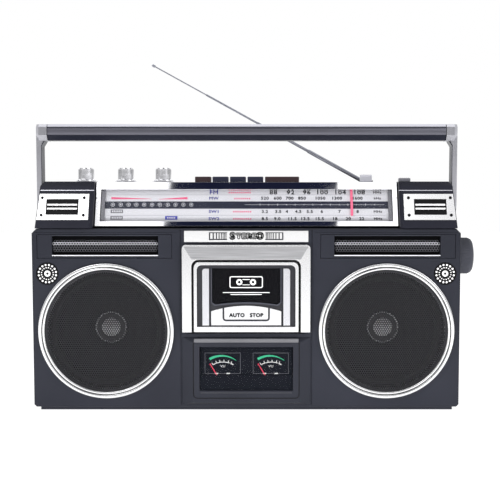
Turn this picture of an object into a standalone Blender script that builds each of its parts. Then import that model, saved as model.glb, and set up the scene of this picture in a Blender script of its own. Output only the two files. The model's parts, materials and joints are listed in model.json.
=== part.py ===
"""Portable radio cassette recorder with a carrying handle, modelled as its separate pieces.

Lengths are in metres. The cabinet's own coordinates are used throughout: x = 0 is the centre
line, y = FRONT is the cabinet's front plane, and z = 0 is the surface that the plinth stands on.
The root empty shifts all of it, so that the whole object's box is centred over the origin.
"""

import math

import bmesh
import bpy
from mathutils import Matrix, Vector

# --- driving dimensions ------------------------------------------------------------------------

GAP = 0.0003
WALL = 0.0025

HALF_WIDTH = 0.220
FRONT = -0.060
REAR = 0.060
SPLIT = -0.008
CABINET_BOTTOM = 0.0035
CABINET_TOP = 0.188
PLINTH_HALF_WIDTH = 0.2137
PLINTH_INSET = 0.005
LEDGE_FRONT = 0.0363
LEDGE_HALF_WIDTH = 0.2165
LEDGE_TOP = 0.228

SPEAKER_X = 0.144
SPEAKER_Z = 0.0829
RING_OUTER = 0.0697
RING_INNER = 0.063
SPEAKER_HOLE = 0.0608

SLOT_INNER_X = 0.076
SLOT_OUTER_X = 0.2145
SLOT_BOTTOM = 0.1575
SLOT_TOP = 0.1823

LEAN = math.radians(22)
UPPER_BOTTOM = CABINET_TOP + GAP
HOUSING_INNER_X = 0.158
HOUSING_OUTER_X = 0.2165
HOUSING_SHOULDER = 0.232
HOUSING_TOP = 0.2365
HOUSING_REAR = 0.036
HOUSING_TAPER = 0.0625

DIAL_HALF_WIDTH = 0.157
DIAL_FRONT = -0.048
DIAL_BOTTOM = 0.1904
DIAL_HEIGHT = 0.0492
PANEL_TOP = 0.236
PANEL_FRONT = -0.027

MODULE_HALF_WIDTH = 0.0656
MODULE_FRONT = -0.0663
DOOR_HALF_WIDTH = 0.0546
DOOR_BOTTOM = 0.0823
DOOR_TOP = 0.1552
DOOR_CORNER = 0.008
DOOR_HINGE = (0.0, -0.061, 0.0845)
BAY_HALF_WIDTH = 0.062
BAY_BOTTOM = 0.080
BAY_TOP = 0.170

METER_X = 0.0248
METER_PIVOT_Z = 0.0277
METER_PIVOT_Y = -0.0618
NEEDLE_LENGTH = 0.0246
NEEDLE_REST = math.radians(30.7)

KEY_TOP = 0.2423
KEY_PITCH = 0.01865
KEY_WIDTH = 0.0168
KEY_FIRST_X = -0.0554
WIDE_KEY_WIDTH = 0.0363
KEY_SHAFT = (0.0, 0.024, 0.226)

KNOB_Y = -0.010
KNOB_TOP = 0.2514
VOLUME_X = -0.1713
BALANCE_X = -0.129
TONE_X = -0.089
BAND_X = 0.1267
BAND_TRAVEL = (-0.012, 0.006)
FUNCTION_X = 0.1677
FUNCTION_TRAVEL = (0.0, 0.012)
STEM_HALF_WIDTH = 0.002
STEM_CLEARANCE = 0.0005
TUNING_AXIS = (0.2205, -0.020, 0.1585)
TUNING_RADIUS = 0.0192
TUNING_LENGTH = 0.0178

HANDLE_PIVOT = (0.0, -0.012, 0.212)
HANDLE_OUTER_X = 0.222
HANDLE_INNER_X = 0.217
HANDLE_TOP = 0.2968
HANDLE_BOTTOM = 0.2796
GRIP_HALF_WIDTH = 0.2095
GRIP_HALF_DEPTH = 0.013
CORNER_X = 0.2185
LEG_HALF_DEPTH = 0.008

ANTENNA_PIVOT = (0.1357, 0.047, 0.2346)
ANTENNA_RISE = math.radians(28.7)

REEL_X = 0.02125
REEL_Z = 0.1235
CAPSTAN = (0.021, 0.137)
MOTOR = (0.035, 0.100)
FLYWHEEL_RADIUS = 0.020
PULLEY_RADIUS = 0.004
CHASSIS_FRONT = -0.042

BATTERY_HALF_WIDTH = 0.095
BATTERY_BOTTOM = 0.010
BATTERY_TOP = 0.084
BATTERY_FRONT = 0.0225
BATTERY_HINGE = (0.0, 0.0588, 0.012)

INLET_X = -0.150
INLET_Z = 0.060

KNOB_REACH_X = TUNING_AXIS[0] + TUNING_LENGTH
RING_FRONT = -0.064
ORIGIN_SHIFT = ((HANDLE_OUTER_X - KNOB_REACH_X) / 2, -(MODULE_FRONT - GAP + REAR) / 2, 0.0)


# --- scene and materials -----------------------------------------------------------------------

def clear_scene():
    for item in list(bpy.data.objects):
        bpy.data.objects.remove(item)


def material(name, color, roughness, metallic=0.0, alpha=1.0):
    made = bpy.data.materials.new(name)
    made.use_nodes = True
    shader = made.node_tree.nodes["Principled BSDF"]
    shader.inputs["Base Color"].default_value = (*color, 1.0)
    shader.inputs["Roughness"].default_value = roughness
    shader.inputs["Metallic"].default_value = metallic
    shader.inputs["Alpha"].default_value = alpha
    made.diffuse_color = (*color, alpha)
    return made


clear_scene()
CABINET_PLASTIC = material("cabinet_plastic", (0.028, 0.031, 0.044), 0.42)
TRIM_PLASTIC = material("trim_plastic", (0.05, 0.05, 0.062), 0.5)
SILVER = material("silver_trim", (0.78, 0.78, 0.80), 0.28, 1.0)
CHROME = material("chrome_trim", (0.85, 0.85, 0.87), 0.12, 1.0)
WHITE_PRINT = material("scale_white", (0.83, 0.84, 0.87), 0.5)
CLEAR = material("clear_window", (0.85, 0.88, 0.90), 0.05, 0.0, 0.25)
SMOKE = material("smoked_window", (0.03, 0.03, 0.04), 0.08, 0.0, 0.6)
MESH_BLACK = material("grille_black", (0.012, 0.012, 0.014), 0.55, 0.4)
KEY_NAVY = material("key_navy", (0.03, 0.03, 0.07), 0.35)
POINTER_RED = material("pointer_red", (0.85, 0.12, 0.25), 0.4)
CONE_PAPER = material("cone_paper", (0.03, 0.03, 0.035), 0.85)
STEEL = material("zinc_steel", (0.55, 0.56, 0.58), 0.35, 1.0)
BOARD_BROWN = material("circuit_board", (0.23, 0.13, 0.05), 0.6)
BELT_RUBBER = material("belt_rubber", (0.02, 0.02, 0.02), 0.8)
BRASS = material("brass", (0.75, 0.55, 0.22), 0.3, 1.0)

ROOT = bpy.data.objects.new("boombox", None)
ROOT.location = ORIGIN_SHIFT
bpy.context.scene.collection.objects.link(ROOT)


# --- shape helpers -----------------------------------------------------------------------------

def solid(build_faces):
    """A closed bmesh with its faces pointing out."""
    bmesh.ops.recalc_face_normals(build_faces, faces=build_faces.faces)
    return build_faces


def box(low, high):
    shape = bmesh.new()
    bmesh.ops.create_cube(shape, size=1.0)
    for vertex in shape.verts:
        vertex.co = Vector(
            low[i] if vertex.co[i] < 0 else high[i] for i in range(3)
        )
    return solid(shape)


def beveled_box(low, high, width, segments=2):
    shape = box(low, high)
    bmesh.ops.bevel(
        shape, geom=shape.edges[:], offset=width, segments=segments, affect="EDGES", profile=0.5
    )
    return solid(shape)


def loft(rings):
    """A closed solid through rings that hold the same number of points."""
    shape = bmesh.new()
    rows = [[shape.verts.new(point) for point in ring] for ring in rings]
    count = len(rings[0])
    for lower, upper in zip(rows, rows[1:]):
        for i in range(count):
            following = (i + 1) % count
            shape.faces.new((lower[i], lower[following], upper[following], upper[i]))
    shape.faces.new(rows[0])
    shape.faces.new(rows[-1])
    return solid(shape)


def on_axis(axis, a, b, along):
    """A point from two coordinates in the plane across an axis and one along it."""
    return {"X": (along, a, b), "Y": (a, along, b), "Z": (a, b, along)}[axis]


def prism(outline, axis, start, end):
    return loft([[on_axis(axis, a, b, along) for a, b in outline] for along in (start, end)])


def circle(centre, radius, segments, turn=0.5):
    """A regular outline; turn 0.5 puts a flat side, not a corner, on each main direction."""
    step = 2 * math.pi / segments
    return [
        (centre[0] + radius * math.cos(step * (i + turn)), centre[1] + radius * math.sin(step * (i + turn)))
        for i in range(segments)
    ]


def rod(axis, centre, radius, start, end, segments=16):
    return prism(circle(centre, radius, segments), axis, start, end)


def rounded(low, high, radius, corners=(True, True, True, True), steps=4):
    """A rectangle's outline with round corners: bottom left, bottom right, top right, top left."""
    points = []
    centres = [
        (low[0] + radius, low[1] + radius, 180),
        (high[0] - radius, low[1] + radius, 270),
        (high[0] - radius, high[1] - radius, 0),
        (low[0] + radius, high[1] - radius, 90),
    ]
    sharp = [(low[0], low[1]), (high[0], low[1]), (high[0], high[1]), (low[0], high[1])]
    for (x, y, start), is_round, corner in zip(centres, corners, sharp):
        if not is_round:
            points.append(corner)
            continue
        for i in range(steps + 1):
            angle = math.radians(start + 90 * i / steps)
            points.append((x + radius * math.cos(angle), y + radius * math.sin(angle)))
    return points


def turned(profile, axis, centre, segments):
    """A closed profile of (radius, place along the axis), turned about that axis."""
    shape = bmesh.new()
    rings = []
    for radius, along in profile:
        if radius == 0:
            rings.append([shape.verts.new(on_axis(axis, *centre, along))])
            continue
        rings.append(
            [shape.verts.new(on_axis(axis, a, b, along)) for a, b in circle(centre, radius, segments)]
        )
    for ring, following in zip(rings, rings[1:] + rings[:1]):
        if len(ring) == 1 and len(following) == 1:
            continue
        for i in range(segments):
            j = (i + 1) % segments
            corners = [ring[i % len(ring)], ring[j % len(ring)]]
            corners += [following[j % len(following)], following[i % len(following)]]
            unique = list(dict.fromkeys(corners))
            shape.faces.new(unique)
    return solid(shape)


def moved(shape, matrix):
    shape.transform(matrix)
    return shape


def leaning(origin):
    """The frame of a face that leans back: x across, z up the slope, y into the cabinet."""
    return Matrix.Translation(Vector(origin)) @ Matrix.Rotation(-LEAN, 4, "X")


def to_object(name, shape, finish=None):
    mesh = bpy.data.meshes.new(name)
    shape.to_mesh(mesh)
    shape.free()
    made = bpy.data.objects.new(name, mesh)
    bpy.context.scene.collection.objects.link(made)
    if finish:
        mesh.materials.append(finish)
    return made


def combined(shape, others, operation):
    """A shape joined with, or cut by, others. The helper objects are removed again."""
    body = to_object("body", shape)
    tools = [to_object("tool", other) for other in others]
    for tool in tools:
        step = body.modifiers.new("step", "BOOLEAN")
        step.object = tool
        step.operation = operation
        step.solver = "EXACT"
    graph = bpy.context.evaluated_depsgraph_get()
    result = bmesh.new()
    result.from_object(body, graph)
    bmesh.ops.remove_doubles(result, verts=result.verts, dist=1e-6)
    bmesh.ops.dissolve_limit(
        result, angle_limit=math.radians(0.05), verts=result.verts, edges=result.edges
    )
    for item in [body, *tools]:
        mesh = item.data
        bpy.data.objects.remove(item)
        bpy.data.meshes.remove(mesh)
    return result


def joined(shape, *others):
    return combined(shape, others, "UNION")


def cut(shape, *others):
    return combined(shape, others, "DIFFERENCE")


def piece(name, shape, finish, pivot=(0.0, 0.0, 0.0)):
    """A named piece under the root, with its origin at its pivot."""
    bmesh.ops.translate(shape, verts=shape.verts, vec=-Vector(pivot))
    made = to_object(name, shape, finish)
    made.parent = ROOT
    made.location = pivot
    made.data.shade_smooth()
    made.data.set_sharp_from_angle(angle=math.radians(35))
    return made


SIDES = (("left", -1), ("right", 1))


# --- cabinet -----------------------------------------------------------------------------------

def cabinet_shell(start, end, open_start, open_end):
    """Half of the cabinet: a hollow box with a plinth, open at the split."""
    corner = 0.004
    outline = rounded((-HALF_WIDTH, CABINET_BOTTOM), (HALF_WIDTH, CABINET_TOP), corner)
    inside = rounded(
        (-HALF_WIDTH + WALL, CABINET_BOTTOM + WALL), (HALF_WIDTH - WALL, CABINET_TOP - WALL), 0.002
    )
    shell = prism(outline, "Y", start, end)
    plinth = box(
        (-PLINTH_HALF_WIDTH, start + (0 if open_start else PLINTH_INSET), 0.0),
        (PLINTH_HALF_WIDTH, end - (0 if open_end else PLINTH_INSET), CABINET_BOTTOM + WALL / 2),
    )
    cavity = prism(
        inside,
        "Y",
        start - 0.01 if open_start else start + WALL,
        end + 0.01 if open_end else end - WALL,
    )
    return cut(joined(shell, plinth), cavity)


def front_cabinet():
    shell = cabinet_shell(FRONT, SPLIT, False, True)
    through = (FRONT - 0.01, FRONT + WALL + 0.002)
    openings = [
        box((-BAY_HALF_WIDTH, through[0], BAY_BOTTOM), (BAY_HALF_WIDTH, through[1], BAY_TOP)),
        box((-0.050, through[0], 0.020), (0.050, through[1], 0.069)),
        rod("X", TUNING_AXIS[1:], 0.0036, HALF_WIDTH - 0.01, HALF_WIDTH + 0.01),
    ]
    for _, side in SIDES:
        openings.append(rod("Y", (side * SPEAKER_X, SPEAKER_Z), SPEAKER_HOLE, *through, 40))
        inner, outer = sorted((side * SLOT_INNER_X, side * SLOT_OUTER_X))
        openings.append(box((inner, through[0], SLOT_BOTTOM), (outer, through[1], SLOT_TOP)))
    piece("front_cabinet", cut(shell, *openings), CABINET_PLASTIC)


def rear_cabinet():
    """The deep shell, with the raised ledge, the battery compartment and the board's posts."""
    start = SPLIT + GAP
    shell = cabinet_shell(start, REAR, True, False)
    ledge_low = CABINET_TOP - WALL
    ledge = box((-LEDGE_HALF_WIDTH, LEDGE_FRONT, ledge_low), (LEDGE_HALF_WIDTH, REAR, LEDGE_TOP))
    ledge_room = box(
        (-LEDGE_HALF_WIDTH + WALL, LEDGE_FRONT + WALL, ledge_low - 0.01),
        (LEDGE_HALF_WIDTH - WALL, REAR - WALL, LEDGE_TOP - WALL),
    )
    case = box(
        (-BATTERY_HALF_WIDTH - WALL, BATTERY_FRONT - WALL, CABINET_BOTTOM + WALL / 2),
        (BATTERY_HALF_WIDTH + WALL, REAR - WALL / 2, BATTERY_TOP + WALL),
    )
    posts = [
        rod("Y", (side * 0.092, height), 0.003, 0.0142, REAR - WALL / 2, 10)
        for side in (-1, 1)
        for height in (0.098, 0.174)
    ]
    room = box(
        (-BATTERY_HALF_WIDTH, BATTERY_FRONT, BATTERY_BOTTOM),
        (BATTERY_HALF_WIDTH, REAR + 0.01, BATTERY_TOP),
    )
    inlet_hole = box(
        (INLET_X - 0.010, REAR - 0.01, INLET_Z - 0.007), (INLET_X + 0.010, REAR + 0.01, INLET_Z + 0.007)
    )
    swivel_hole = rod("Z", ANTENNA_PIVOT[:2], 0.003, LEDGE_TOP - 0.01, LEDGE_TOP + 0.01)
    body = joined(shell, ledge)
    body = cut(body, ledge_room)
    body = joined(body, case, *posts)
    piece("rear_cabinet", cut(body, room, inlet_hole, swivel_hole), CABINET_PLASTIC)


def battery_door():
    margin = 0.0004
    low = (-BATTERY_HALF_WIDTH + margin, REAR - WALL + 0.0001, BATTERY_BOTTOM + 0.0008)
    high = (BATTERY_HALF_WIDTH - margin, REAR, BATTERY_TOP - margin)
    latch = box((-0.012, REAR - 0.006, BATTERY_TOP - 0.008), (0.012, REAR - 0.001, BATTERY_TOP - 0.002))
    piece("battery_door", joined(box(low, high), latch), CABINET_PLASTIC, BATTERY_HINGE)


def mains_inlet():
    back = 0.042
    mouth = REAR - WALL - GAP
    housing = box((INLET_X - 0.013, back, INLET_Z - 0.010), (INLET_X + 0.013, mouth, INLET_Z + 0.010))
    neck = box(
        (INLET_X - 0.0097, mouth - 0.001, INLET_Z - 0.0067), (INLET_X + 0.0097, REAR, INLET_Z + 0.0067)
    )
    socket = prism(
        rounded((INLET_X - 0.0078, INLET_Z - 0.0045), (INLET_X + 0.0078, INLET_Z + 0.0045), 0.004),
        "Y",
        back + 0.006,
        REAR + 0.01,
    )
    pins = [
        rod("Y", (INLET_X + offset, INLET_Z), 0.0012, back + 0.005, REAR - 0.0045, 8)
        for offset in (-0.0033, 0.0033)
    ]
    piece("mains_inlet", joined(cut(joined(housing, neck), socket), *pins), TRIM_PLASTIC)


# --- tweeter housings --------------------------------------------------------------------------

def face_y(height):
    """Where the leaning front face of a tweeter housing is at a height."""
    return FRONT + (height - UPPER_BOTTOM) * math.tan(LEAN)


def housing_ring(side, height, inset, chamfer, top_inset=0.0):
    """One level of a tweeter housing, its walls moved in by inset."""
    outer = HOUSING_OUTER_X - (height - UPPER_BOTTOM) * HOUSING_TAPER - inset - top_inset
    inner = HOUSING_INNER_X + inset + top_inset / 4
    front = face_y(height) + inset + top_inset
    back = HOUSING_REAR - inset
    corner = 0.0008
    outline = [
        (inner, front + chamfer),
        (inner + chamfer, front),
        (outer - corner, front),
        (outer, front + corner),
        (outer, back),
        (inner, back),
    ]
    return [(side * x, y, height) for x, y in outline]


def stem_slot(x, travel, top):
    """The opening that a sliding switch's stem runs in."""
    reach = STEM_HALF_WIDTH + STEM_CLEARANCE
    low = (x + travel[0] - reach, KNOB_Y - 0.002, top - 0.01)
    return box(low, (x + travel[1] + reach, KNOB_Y + 0.002, top + 0.01))


def tweeter_housing(name, side):
    chamfer = 0.003
    drop = HOUSING_TOP - HOUSING_SHOULDER
    outer = loft(
        [
            housing_ring(side, UPPER_BOTTOM, 0.0, chamfer),
            housing_ring(side, HOUSING_SHOULDER, 0.0, chamfer),
            housing_ring(side, HOUSING_TOP, 0.0, chamfer, drop * 0.7),
        ]
    )
    inner = loft(
        [
            housing_ring(side, UPPER_BOTTOM - 0.005, WALL, chamfer),
            housing_ring(side, HOUSING_SHOULDER - 0.001, WALL, chamfer),
            housing_ring(side, HOUSING_TOP - WALL, WALL, chamfer, drop * 0.6),
        ]
    )
    low, high = sorted((side * 0.1726, side * 0.2058))
    sound_hole = moved(
        box((low, -0.004, 0.0148), (high, 0.006, 0.0315)), leaning((0, FRONT, UPPER_BOTTOM))
    )
    pivot_x = sorted((side * 0.208, side * 0.220))
    pivot_hole = rod("X", HANDLE_PIVOT[1:], 0.0044, *pivot_x)
    openings = [sound_hole, pivot_hole]
    if side < 0:
        openings.append(rod("Z", (VOLUME_X, KNOB_Y), 0.0036, HOUSING_TOP - 0.01, HOUSING_TOP + 0.01))
    else:
        openings.append(stem_slot(FUNCTION_X, FUNCTION_TRAVEL, HOUSING_TOP))
    piece(name, cut(cut(outer, inner), *openings), CABINET_PLASTIC)


def tweeter_plate(name, side):
    """A silver plate on the leaning face, with three long slots."""
    low, high = 0.0088, 0.0376
    outline = [(0.162, low), (0.2149, low), (0.2132, high), (0.162, high)]
    plate = prism([(side * x, z) for x, z in outline], "Y", -0.0013, -GAP)
    slots = [(0.0148, 0.0200), (0.0222, 0.0242), (0.0264, 0.0315)]
    ends = sorted((side * 0.1732, side * 0.2052))
    cutters = [box((ends[0], -0.01, a), (ends[1], 0.01, b)) for a, b in slots]
    shape = cut(plate, *cutters)
    piece(name, moved(shape, leaning((0, FRONT, UPPER_BOTTOM))), SILVER)


# --- dial --------------------------------------------------------------------------------------

DIAL_FRAME = leaning((0, DIAL_FRONT, DIAL_BOTTOM))
WINDOW_HALF_WIDTH = 0.152
WINDOW_LOW = 0.0053
WINDOW_HIGH = 0.0410
LIP = 0.0032


def dial_bezel():
    frame = box((-DIAL_HALF_WIDTH, 0, 0), (DIAL_HALF_WIDTH, 0.009, DIAL_HEIGHT))
    sight = box((-WINDOW_HALF_WIDTH, -0.01, WINDOW_LOW), (WINDOW_HALF_WIDTH, 0.02, WINDOW_HIGH))
    room = box((-0.1545, LIP, 0.003), (0.1545, 0.02, 0.0465))
    shape = moved(cut(frame, sight, room), DIAL_FRAME)
    under = box((-0.2, -0.1, 0.1), (0.2, 0.0, UPPER_BOTTOM))
    behind = box((-0.2, PANEL_FRONT - GAP, PANEL_TOP - WALL - 0.0006), (0.2, 0.0, 0.3))
    piece("dial_bezel", cut(shape, under, behind), CHROME)


def dial_window():
    clear = GAP
    pane = box(
        (-WINDOW_HALF_WIDTH + clear, 0.0008, WINDOW_LOW + clear),
        (WINDOW_HALF_WIDTH - clear, 0.0023, WINDOW_HIGH - clear),
    )
    piece("dial_window", moved(pane, DIAL_FRAME), CLEAR)


def dial_scale():
    plate = box((-0.1535, 0.006, 0.004), (0.1535, 0.0072, 0.0422))
    piece("dial_scale", moved(plate, DIAL_FRAME), WHITE_PRINT)


def dial_pointer():
    """A needle in front of the scale, hooked over its top edge to a carriage behind it."""
    centre, half = 0.1098, 0.0013
    needle = box((centre - half, 0.0036, 0.0132), (centre + half, 0.0048, 0.0450))
    hook = box((centre - half, 0.0036, 0.0430), (centre + half, 0.0095, 0.0450))
    carriage = box((centre - 0.006, 0.0085, 0.0428), (centre + 0.006, 0.0115, 0.0455))
    shape = joined(needle, hook, carriage)
    start = DIAL_FRAME @ Vector((centre, 0.0042, 0.0132))
    piece("dial_pointer", moved(shape, DIAL_FRAME), POINTER_RED, tuple(start))


# --- top panel, keys, knobs and switches -------------------------------------------------------

def top_panel():
    half = 0.1574
    plate = box((-half, PANEL_FRONT, PANEL_TOP - WALL), (half, HOUSING_REAR, PANEL_TOP))
    lip = box((-half, HOUSING_REAR - WALL, LEDGE_TOP + 0.0006), (half, HOUSING_REAR, PANEL_TOP - 0.001))
    lugs = [
        box((min(x, x + 0.0025), 0.020, 0.222), (max(x, x + 0.0025), 0.028, PANEL_TOP - 0.001))
        for x in (-0.061, 0.0585)
    ]
    shaft = rod("X", KEY_SHAFT[1:], 0.0015, -0.060, 0.060, 12)
    openings = [
        box((-0.0564, -0.0158, 0.2), (0.0570, 0.012, 0.25)),
        stem_slot(BAND_X, BAND_TRAVEL, PANEL_TOP),
    ]
    openings += [rod("Z", (x, KNOB_Y), 0.0036, 0.2, 0.25) for x in (BALANCE_X, TONE_X)]
    shape = cut(joined(plate, lip, *lugs), *openings)
    piece("top_panel", joined(shape, shaft), SILVER)


def piano_key(name, start, width):
    """A key cap on an arm that turns about the shaft behind it."""
    bottom = 0.2295
    cap = box((start, -0.012, bottom), (start + width, 0.008, KEY_TOP))
    bmesh.ops.bevel(
        cap,
        geom=[e for e in cap.edges if all(v.co.z > KEY_TOP - 0.001 for v in e.verts)],
        offset=0.0008,
        segments=2,
        affect="EDGES",
    )
    middle = start + width / 2
    arm_half = 0.005
    arm = box((middle - arm_half, -0.010, 0.2235), (middle + arm_half, 0.024, bottom + 0.001))
    boss = rod("X", KEY_SHAFT[1:], 0.0036, middle - arm_half, middle + arm_half, 16)
    bore = rod("X", KEY_SHAFT[1:], 0.0019, middle - 0.02, middle + 0.02, 16)
    finish = KEY_NAVY
    piece(name, cut(joined(solid(cap), arm, boss), bore), finish, (middle, *KEY_SHAFT[1:]))


def piano_keys():
    names = ("record_key", "rewind_key", "forward_key", "stop_key")
    for i, name in enumerate(names):
        piano_key(name, KEY_FIRST_X + i * KEY_PITCH, KEY_WIDTH)
    piano_key("play_key", KEY_FIRST_X + len(names) * KEY_PITCH, WIDE_KEY_WIDTH)


def top_knob(name, x, base):
    """A knob with a flange and grip flats, on a shaft through the panel."""
    sides = 20
    body = turned(
        [
            (0, base + 0.0006),
            (0.0105, base + 0.0006),
            (0.0105, base + 0.0018),
            (0.0085, base + 0.0028),
            (0.0080, KNOB_TOP - 0.0008),
            (0.0072, KNOB_TOP),
            (0, KNOB_TOP),
        ],
        "Z",
        (x, KNOB_Y),
        sides,
    )
    shaft = rod("Z", (x, KNOB_Y), 0.003, 0.224, base + 0.002, 12)
    piece(name, joined(body, shaft), SILVER, (x, KNOB_Y, base))


def slide_switch(name, x, base, top, width, finish):
    low = (x - width / 2, KNOB_Y - 0.004, base + 0.0004)
    tab = beveled_box(low, (x + width / 2, KNOB_Y + 0.004, top), 0.0006, 1)
    stem_low = (x - STEM_HALF_WIDTH, KNOB_Y - 0.0015, 0.226)
    stem = box(stem_low, (x + STEM_HALF_WIDTH, KNOB_Y + 0.0015, base + 0.002))
    piece(name, joined(tab, stem), finish, (x, KNOB_Y, base))


def tuning_knob():
    start, end, across = TUNING_AXIS[0], KNOB_REACH_X, TUNING_AXIS[1:]
    body = turned(
        [
            (0, start),
            (TUNING_RADIUS - 0.0005, start),
            (TUNING_RADIUS, start + 0.001),
            (TUNING_RADIUS, end - 0.0045),
            (TUNING_RADIUS - 0.0020, end - 0.0010),
            (TUNING_RADIUS - 0.0050, end),
            (0, end),
        ],
        "X",
        across,
        32,
    )
    shaft = rod("X", across, 0.003, 0.200, start + 0.001, 12)
    piece("tuning_knob", joined(body, shaft), CABINET_PLASTIC, TUNING_AXIS)


# --- loudspeakers ------------------------------------------------------------------------------

def speaker(name, side):
    centre = (side * SPEAKER_X, SPEAKER_Z)
    face = FRONT - GAP
    ring = turned(
        [
            (RING_INNER, face),
            (RING_OUTER, face),
            (RING_OUTER, face - 0.0024),
            (RING_OUTER - 0.0008, RING_FRONT),
            (0.0667, RING_FRONT),
            (0.0664, RING_FRONT + 0.001),
            (0.0660, RING_FRONT + 0.001),
            (0.0657, RING_FRONT),
            (RING_INNER + 0.0005, RING_FRONT),
            (RING_INNER, RING_FRONT + 0.0005),
        ],
        "Y",
        centre,
        48,
    )
    piece(f"speaker_ring_{name}", ring, CHROME)
    edge = RING_INNER - GAP * 2
    grille = turned([(0, face), (edge, face), (edge, face - 0.0012), (0, face - 0.0018)], "Y", centre, 40)
    piece(f"speaker_grille_{name}", grille, MESH_BLACK)
    seat = FRONT + WALL + GAP
    basket = turned(
        [
            (0, 0.006),
            (0.036, 0.006),
            (0.036, -0.014),
            (0.063, -0.0495),
            (0.063, seat + 0.0025),
            (0.070, seat + 0.0025),
            (0.070, seat),
            (0.0603, seat),
            (0.0603, -0.050),
            (0.019, -0.015),
            (0.019, -0.010),
            (0, -0.010),
        ],
        "Y",
        centre,
        32,
    )
    piece(f"woofer_basket_{name}", basket, STEEL)
    cone = turned(
        [
            (0, -0.0275),
            (0.010, -0.0262),
            (0.016, -0.0228),
            (0.052, -0.0512),
            (0.0555, -0.0550),
            (0.0585, -0.0550),
            (0.0585, -0.0542),
            (0.0560, -0.0542),
            (0.0525, -0.0500),
            (0.0155, -0.0208),
            (0.0155, -0.015),
            (0.0145, -0.015),
            (0.0145, -0.0222),
            (0.0095, -0.0252),
            (0, -0.0265),
        ],
        "Y",
        centre,
        32,
    )
    piece(f"woofer_cone_{name}", cone, CONE_PAPER, (centre[0], -0.0275, centre[1]))


def slot_grille(name, side):
    """The recessed panel above a woofer, with a long mesh field and a flange behind the wall."""
    def span(inner, outer):
        return sorted((side * inner, side * outer))

    low, high = span(SLOT_INNER_X + GAP, SLOT_OUTER_X - GAP)
    plug = box(
        (low, FRONT + 0.0006, SLOT_BOTTOM + GAP), (high, FRONT + WALL + 0.001, SLOT_TOP - GAP)
    )
    low, high = span(SLOT_INNER_X - 0.0015, SLOT_OUTER_X + 0.0015)
    flange = box(
        (low, FRONT + WALL + GAP, SLOT_BOTTOM - 0.0015), (high, FRONT + WALL + 0.002, SLOT_TOP + 0.0015)
    )
    low, high = span(0.0903, 0.199)
    field = box((low, FRONT - 0.01, 0.159), (high, FRONT + 0.0022, 0.1812))
    piece(f"slot_grille_{name}", cut(joined(plug, flange), field), MESH_BLACK)


# --- cassette door and meter module ------------------------------------------------------------

def frustum(half, low, high, front_half, front_low, front_high):
    """A raised panel: a thin straight edge at the cabinet face, then bevels up to its front."""
    back = FRONT - GAP
    edge = back - 0.0008

    def ring(half_width, bottom, top, y):
        corners = ((-half_width, bottom), (half_width, bottom), (half_width, top), (-half_width, top))
        return [(x, y, z) for x, z in corners]

    return loft(
        [
            ring(half, low, high, back),
            ring(half, low, high, edge),
            ring(front_half, front_low, front_high, MODULE_FRONT),
        ]
    )


ROUND_TOP = (False, False, True, True)


def deck_surround():
    margin = 0.0006
    low = DOOR_BOTTOM - GAP
    raised = frustum(MODULE_HALF_WIDTH, low, 0.1716, 0.056, low, 0.1566)
    opening = prism(
        rounded(
            (-DOOR_HALF_WIDTH - margin, low - 0.02),
            (DOOR_HALF_WIDTH + margin, DOOR_TOP + margin),
            DOOR_CORNER,
            ROUND_TOP,
        ),
        "Y",
        FRONT - 0.02,
        FRONT + 0.02,
    )
    piece("deck_surround", cut(raised, opening), SILVER)


def cassette_door():
    back = FRONT
    outline = rounded((-DOOR_HALF_WIDTH, DOOR_BOTTOM), (DOOR_HALF_WIDTH, DOOR_TOP), DOOR_CORNER, ROUND_TOP)
    frame = prism(outline, "Y", MODULE_FRONT - GAP, back)
    sight = prism(rounded((-0.0503, 0.088), (0.0503, 0.151), 0.005, ROUND_TOP), "Y", -0.08, -0.04)
    piece("cassette_door", cut(frame, sight), SILVER, DOOR_HINGE)
    pane = prism(rounded((-0.050, 0.0883), (0.050, 0.1507), 0.0048, ROUND_TOP), "Y", -0.0640, -0.0612)
    piece("door_window", pane, SMOKE, DOOR_HINGE)


def cassette_holder():
    """Two side channels and a shelf behind the door, open at the top and in the middle."""
    front, back = -0.0597, -0.046
    top, bottom = 0.150, 0.0865
    outer, inner, lip = 0.0527, 0.0512, 0.0470
    shelf = box((-outer, front, bottom), (outer, back, bottom + 0.0015))
    walls = []
    for side in (-1, 1):
        low, high = sorted((side * inner, side * outer))
        walls.append(box((low, front, bottom), (high, back, top)))
        low, high = sorted((side * lip, side * outer))
        walls.append(box((low, back - 0.0012, bottom), (high, back, top)))
    piece("cassette_holder", joined(shelf, *walls), TRIM_PLASTIC, DOOR_HINGE)


def meter_module():
    raised = frustum(MODULE_HALF_WIDTH, 0.0072, 0.076, 0.0544, 0.0092, 0.0714)
    sight = box((-0.048, -0.08, 0.0217), (0.048, -0.04, 0.0668))
    piece("meter_frame", cut(raised, sight), CABINET_PLASTIC)
    pane = box((-0.0477, -0.0648, 0.0220), (0.0477, -0.0636, 0.0665))
    piece("meter_window", pane, SMOKE)
    face = box((-0.0475, -0.0605, 0.0222), (0.0475, -0.0590, 0.0663))
    can = box((-0.046, -0.0595, 0.024), (0.046, -0.046, 0.064))
    piece("vu_meter_unit", joined(face, can), TRIM_PLASTIC)
    for name, side in SIDES:
        pivot = (side * METER_X, METER_PIVOT_Y, METER_PIVOT_Z)
        blade = loft(
            [
                [
                    (half * sx, thick * sy, reach)
                    for sx, sy in ((-1, -1), (1, -1), (1, 1), (-1, 1))
                ]
                for half, thick, reach in ((0.0006, 0.0002, 0.0), (0.0003, 0.0002, NEEDLE_LENGTH))
            ]
        )
        hub = rod("Y", (0, 0), 0.0016, -0.0006, 0.0006, 12)
        place = Matrix.Translation(Vector(pivot)) @ Matrix.Rotation(-NEEDLE_REST, 4, "Y")
        piece(f"vu_needle_{name}", moved(joined(blade, hub), place), POINTER_RED, pivot)


# --- tape deck ---------------------------------------------------------------------------------

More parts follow.
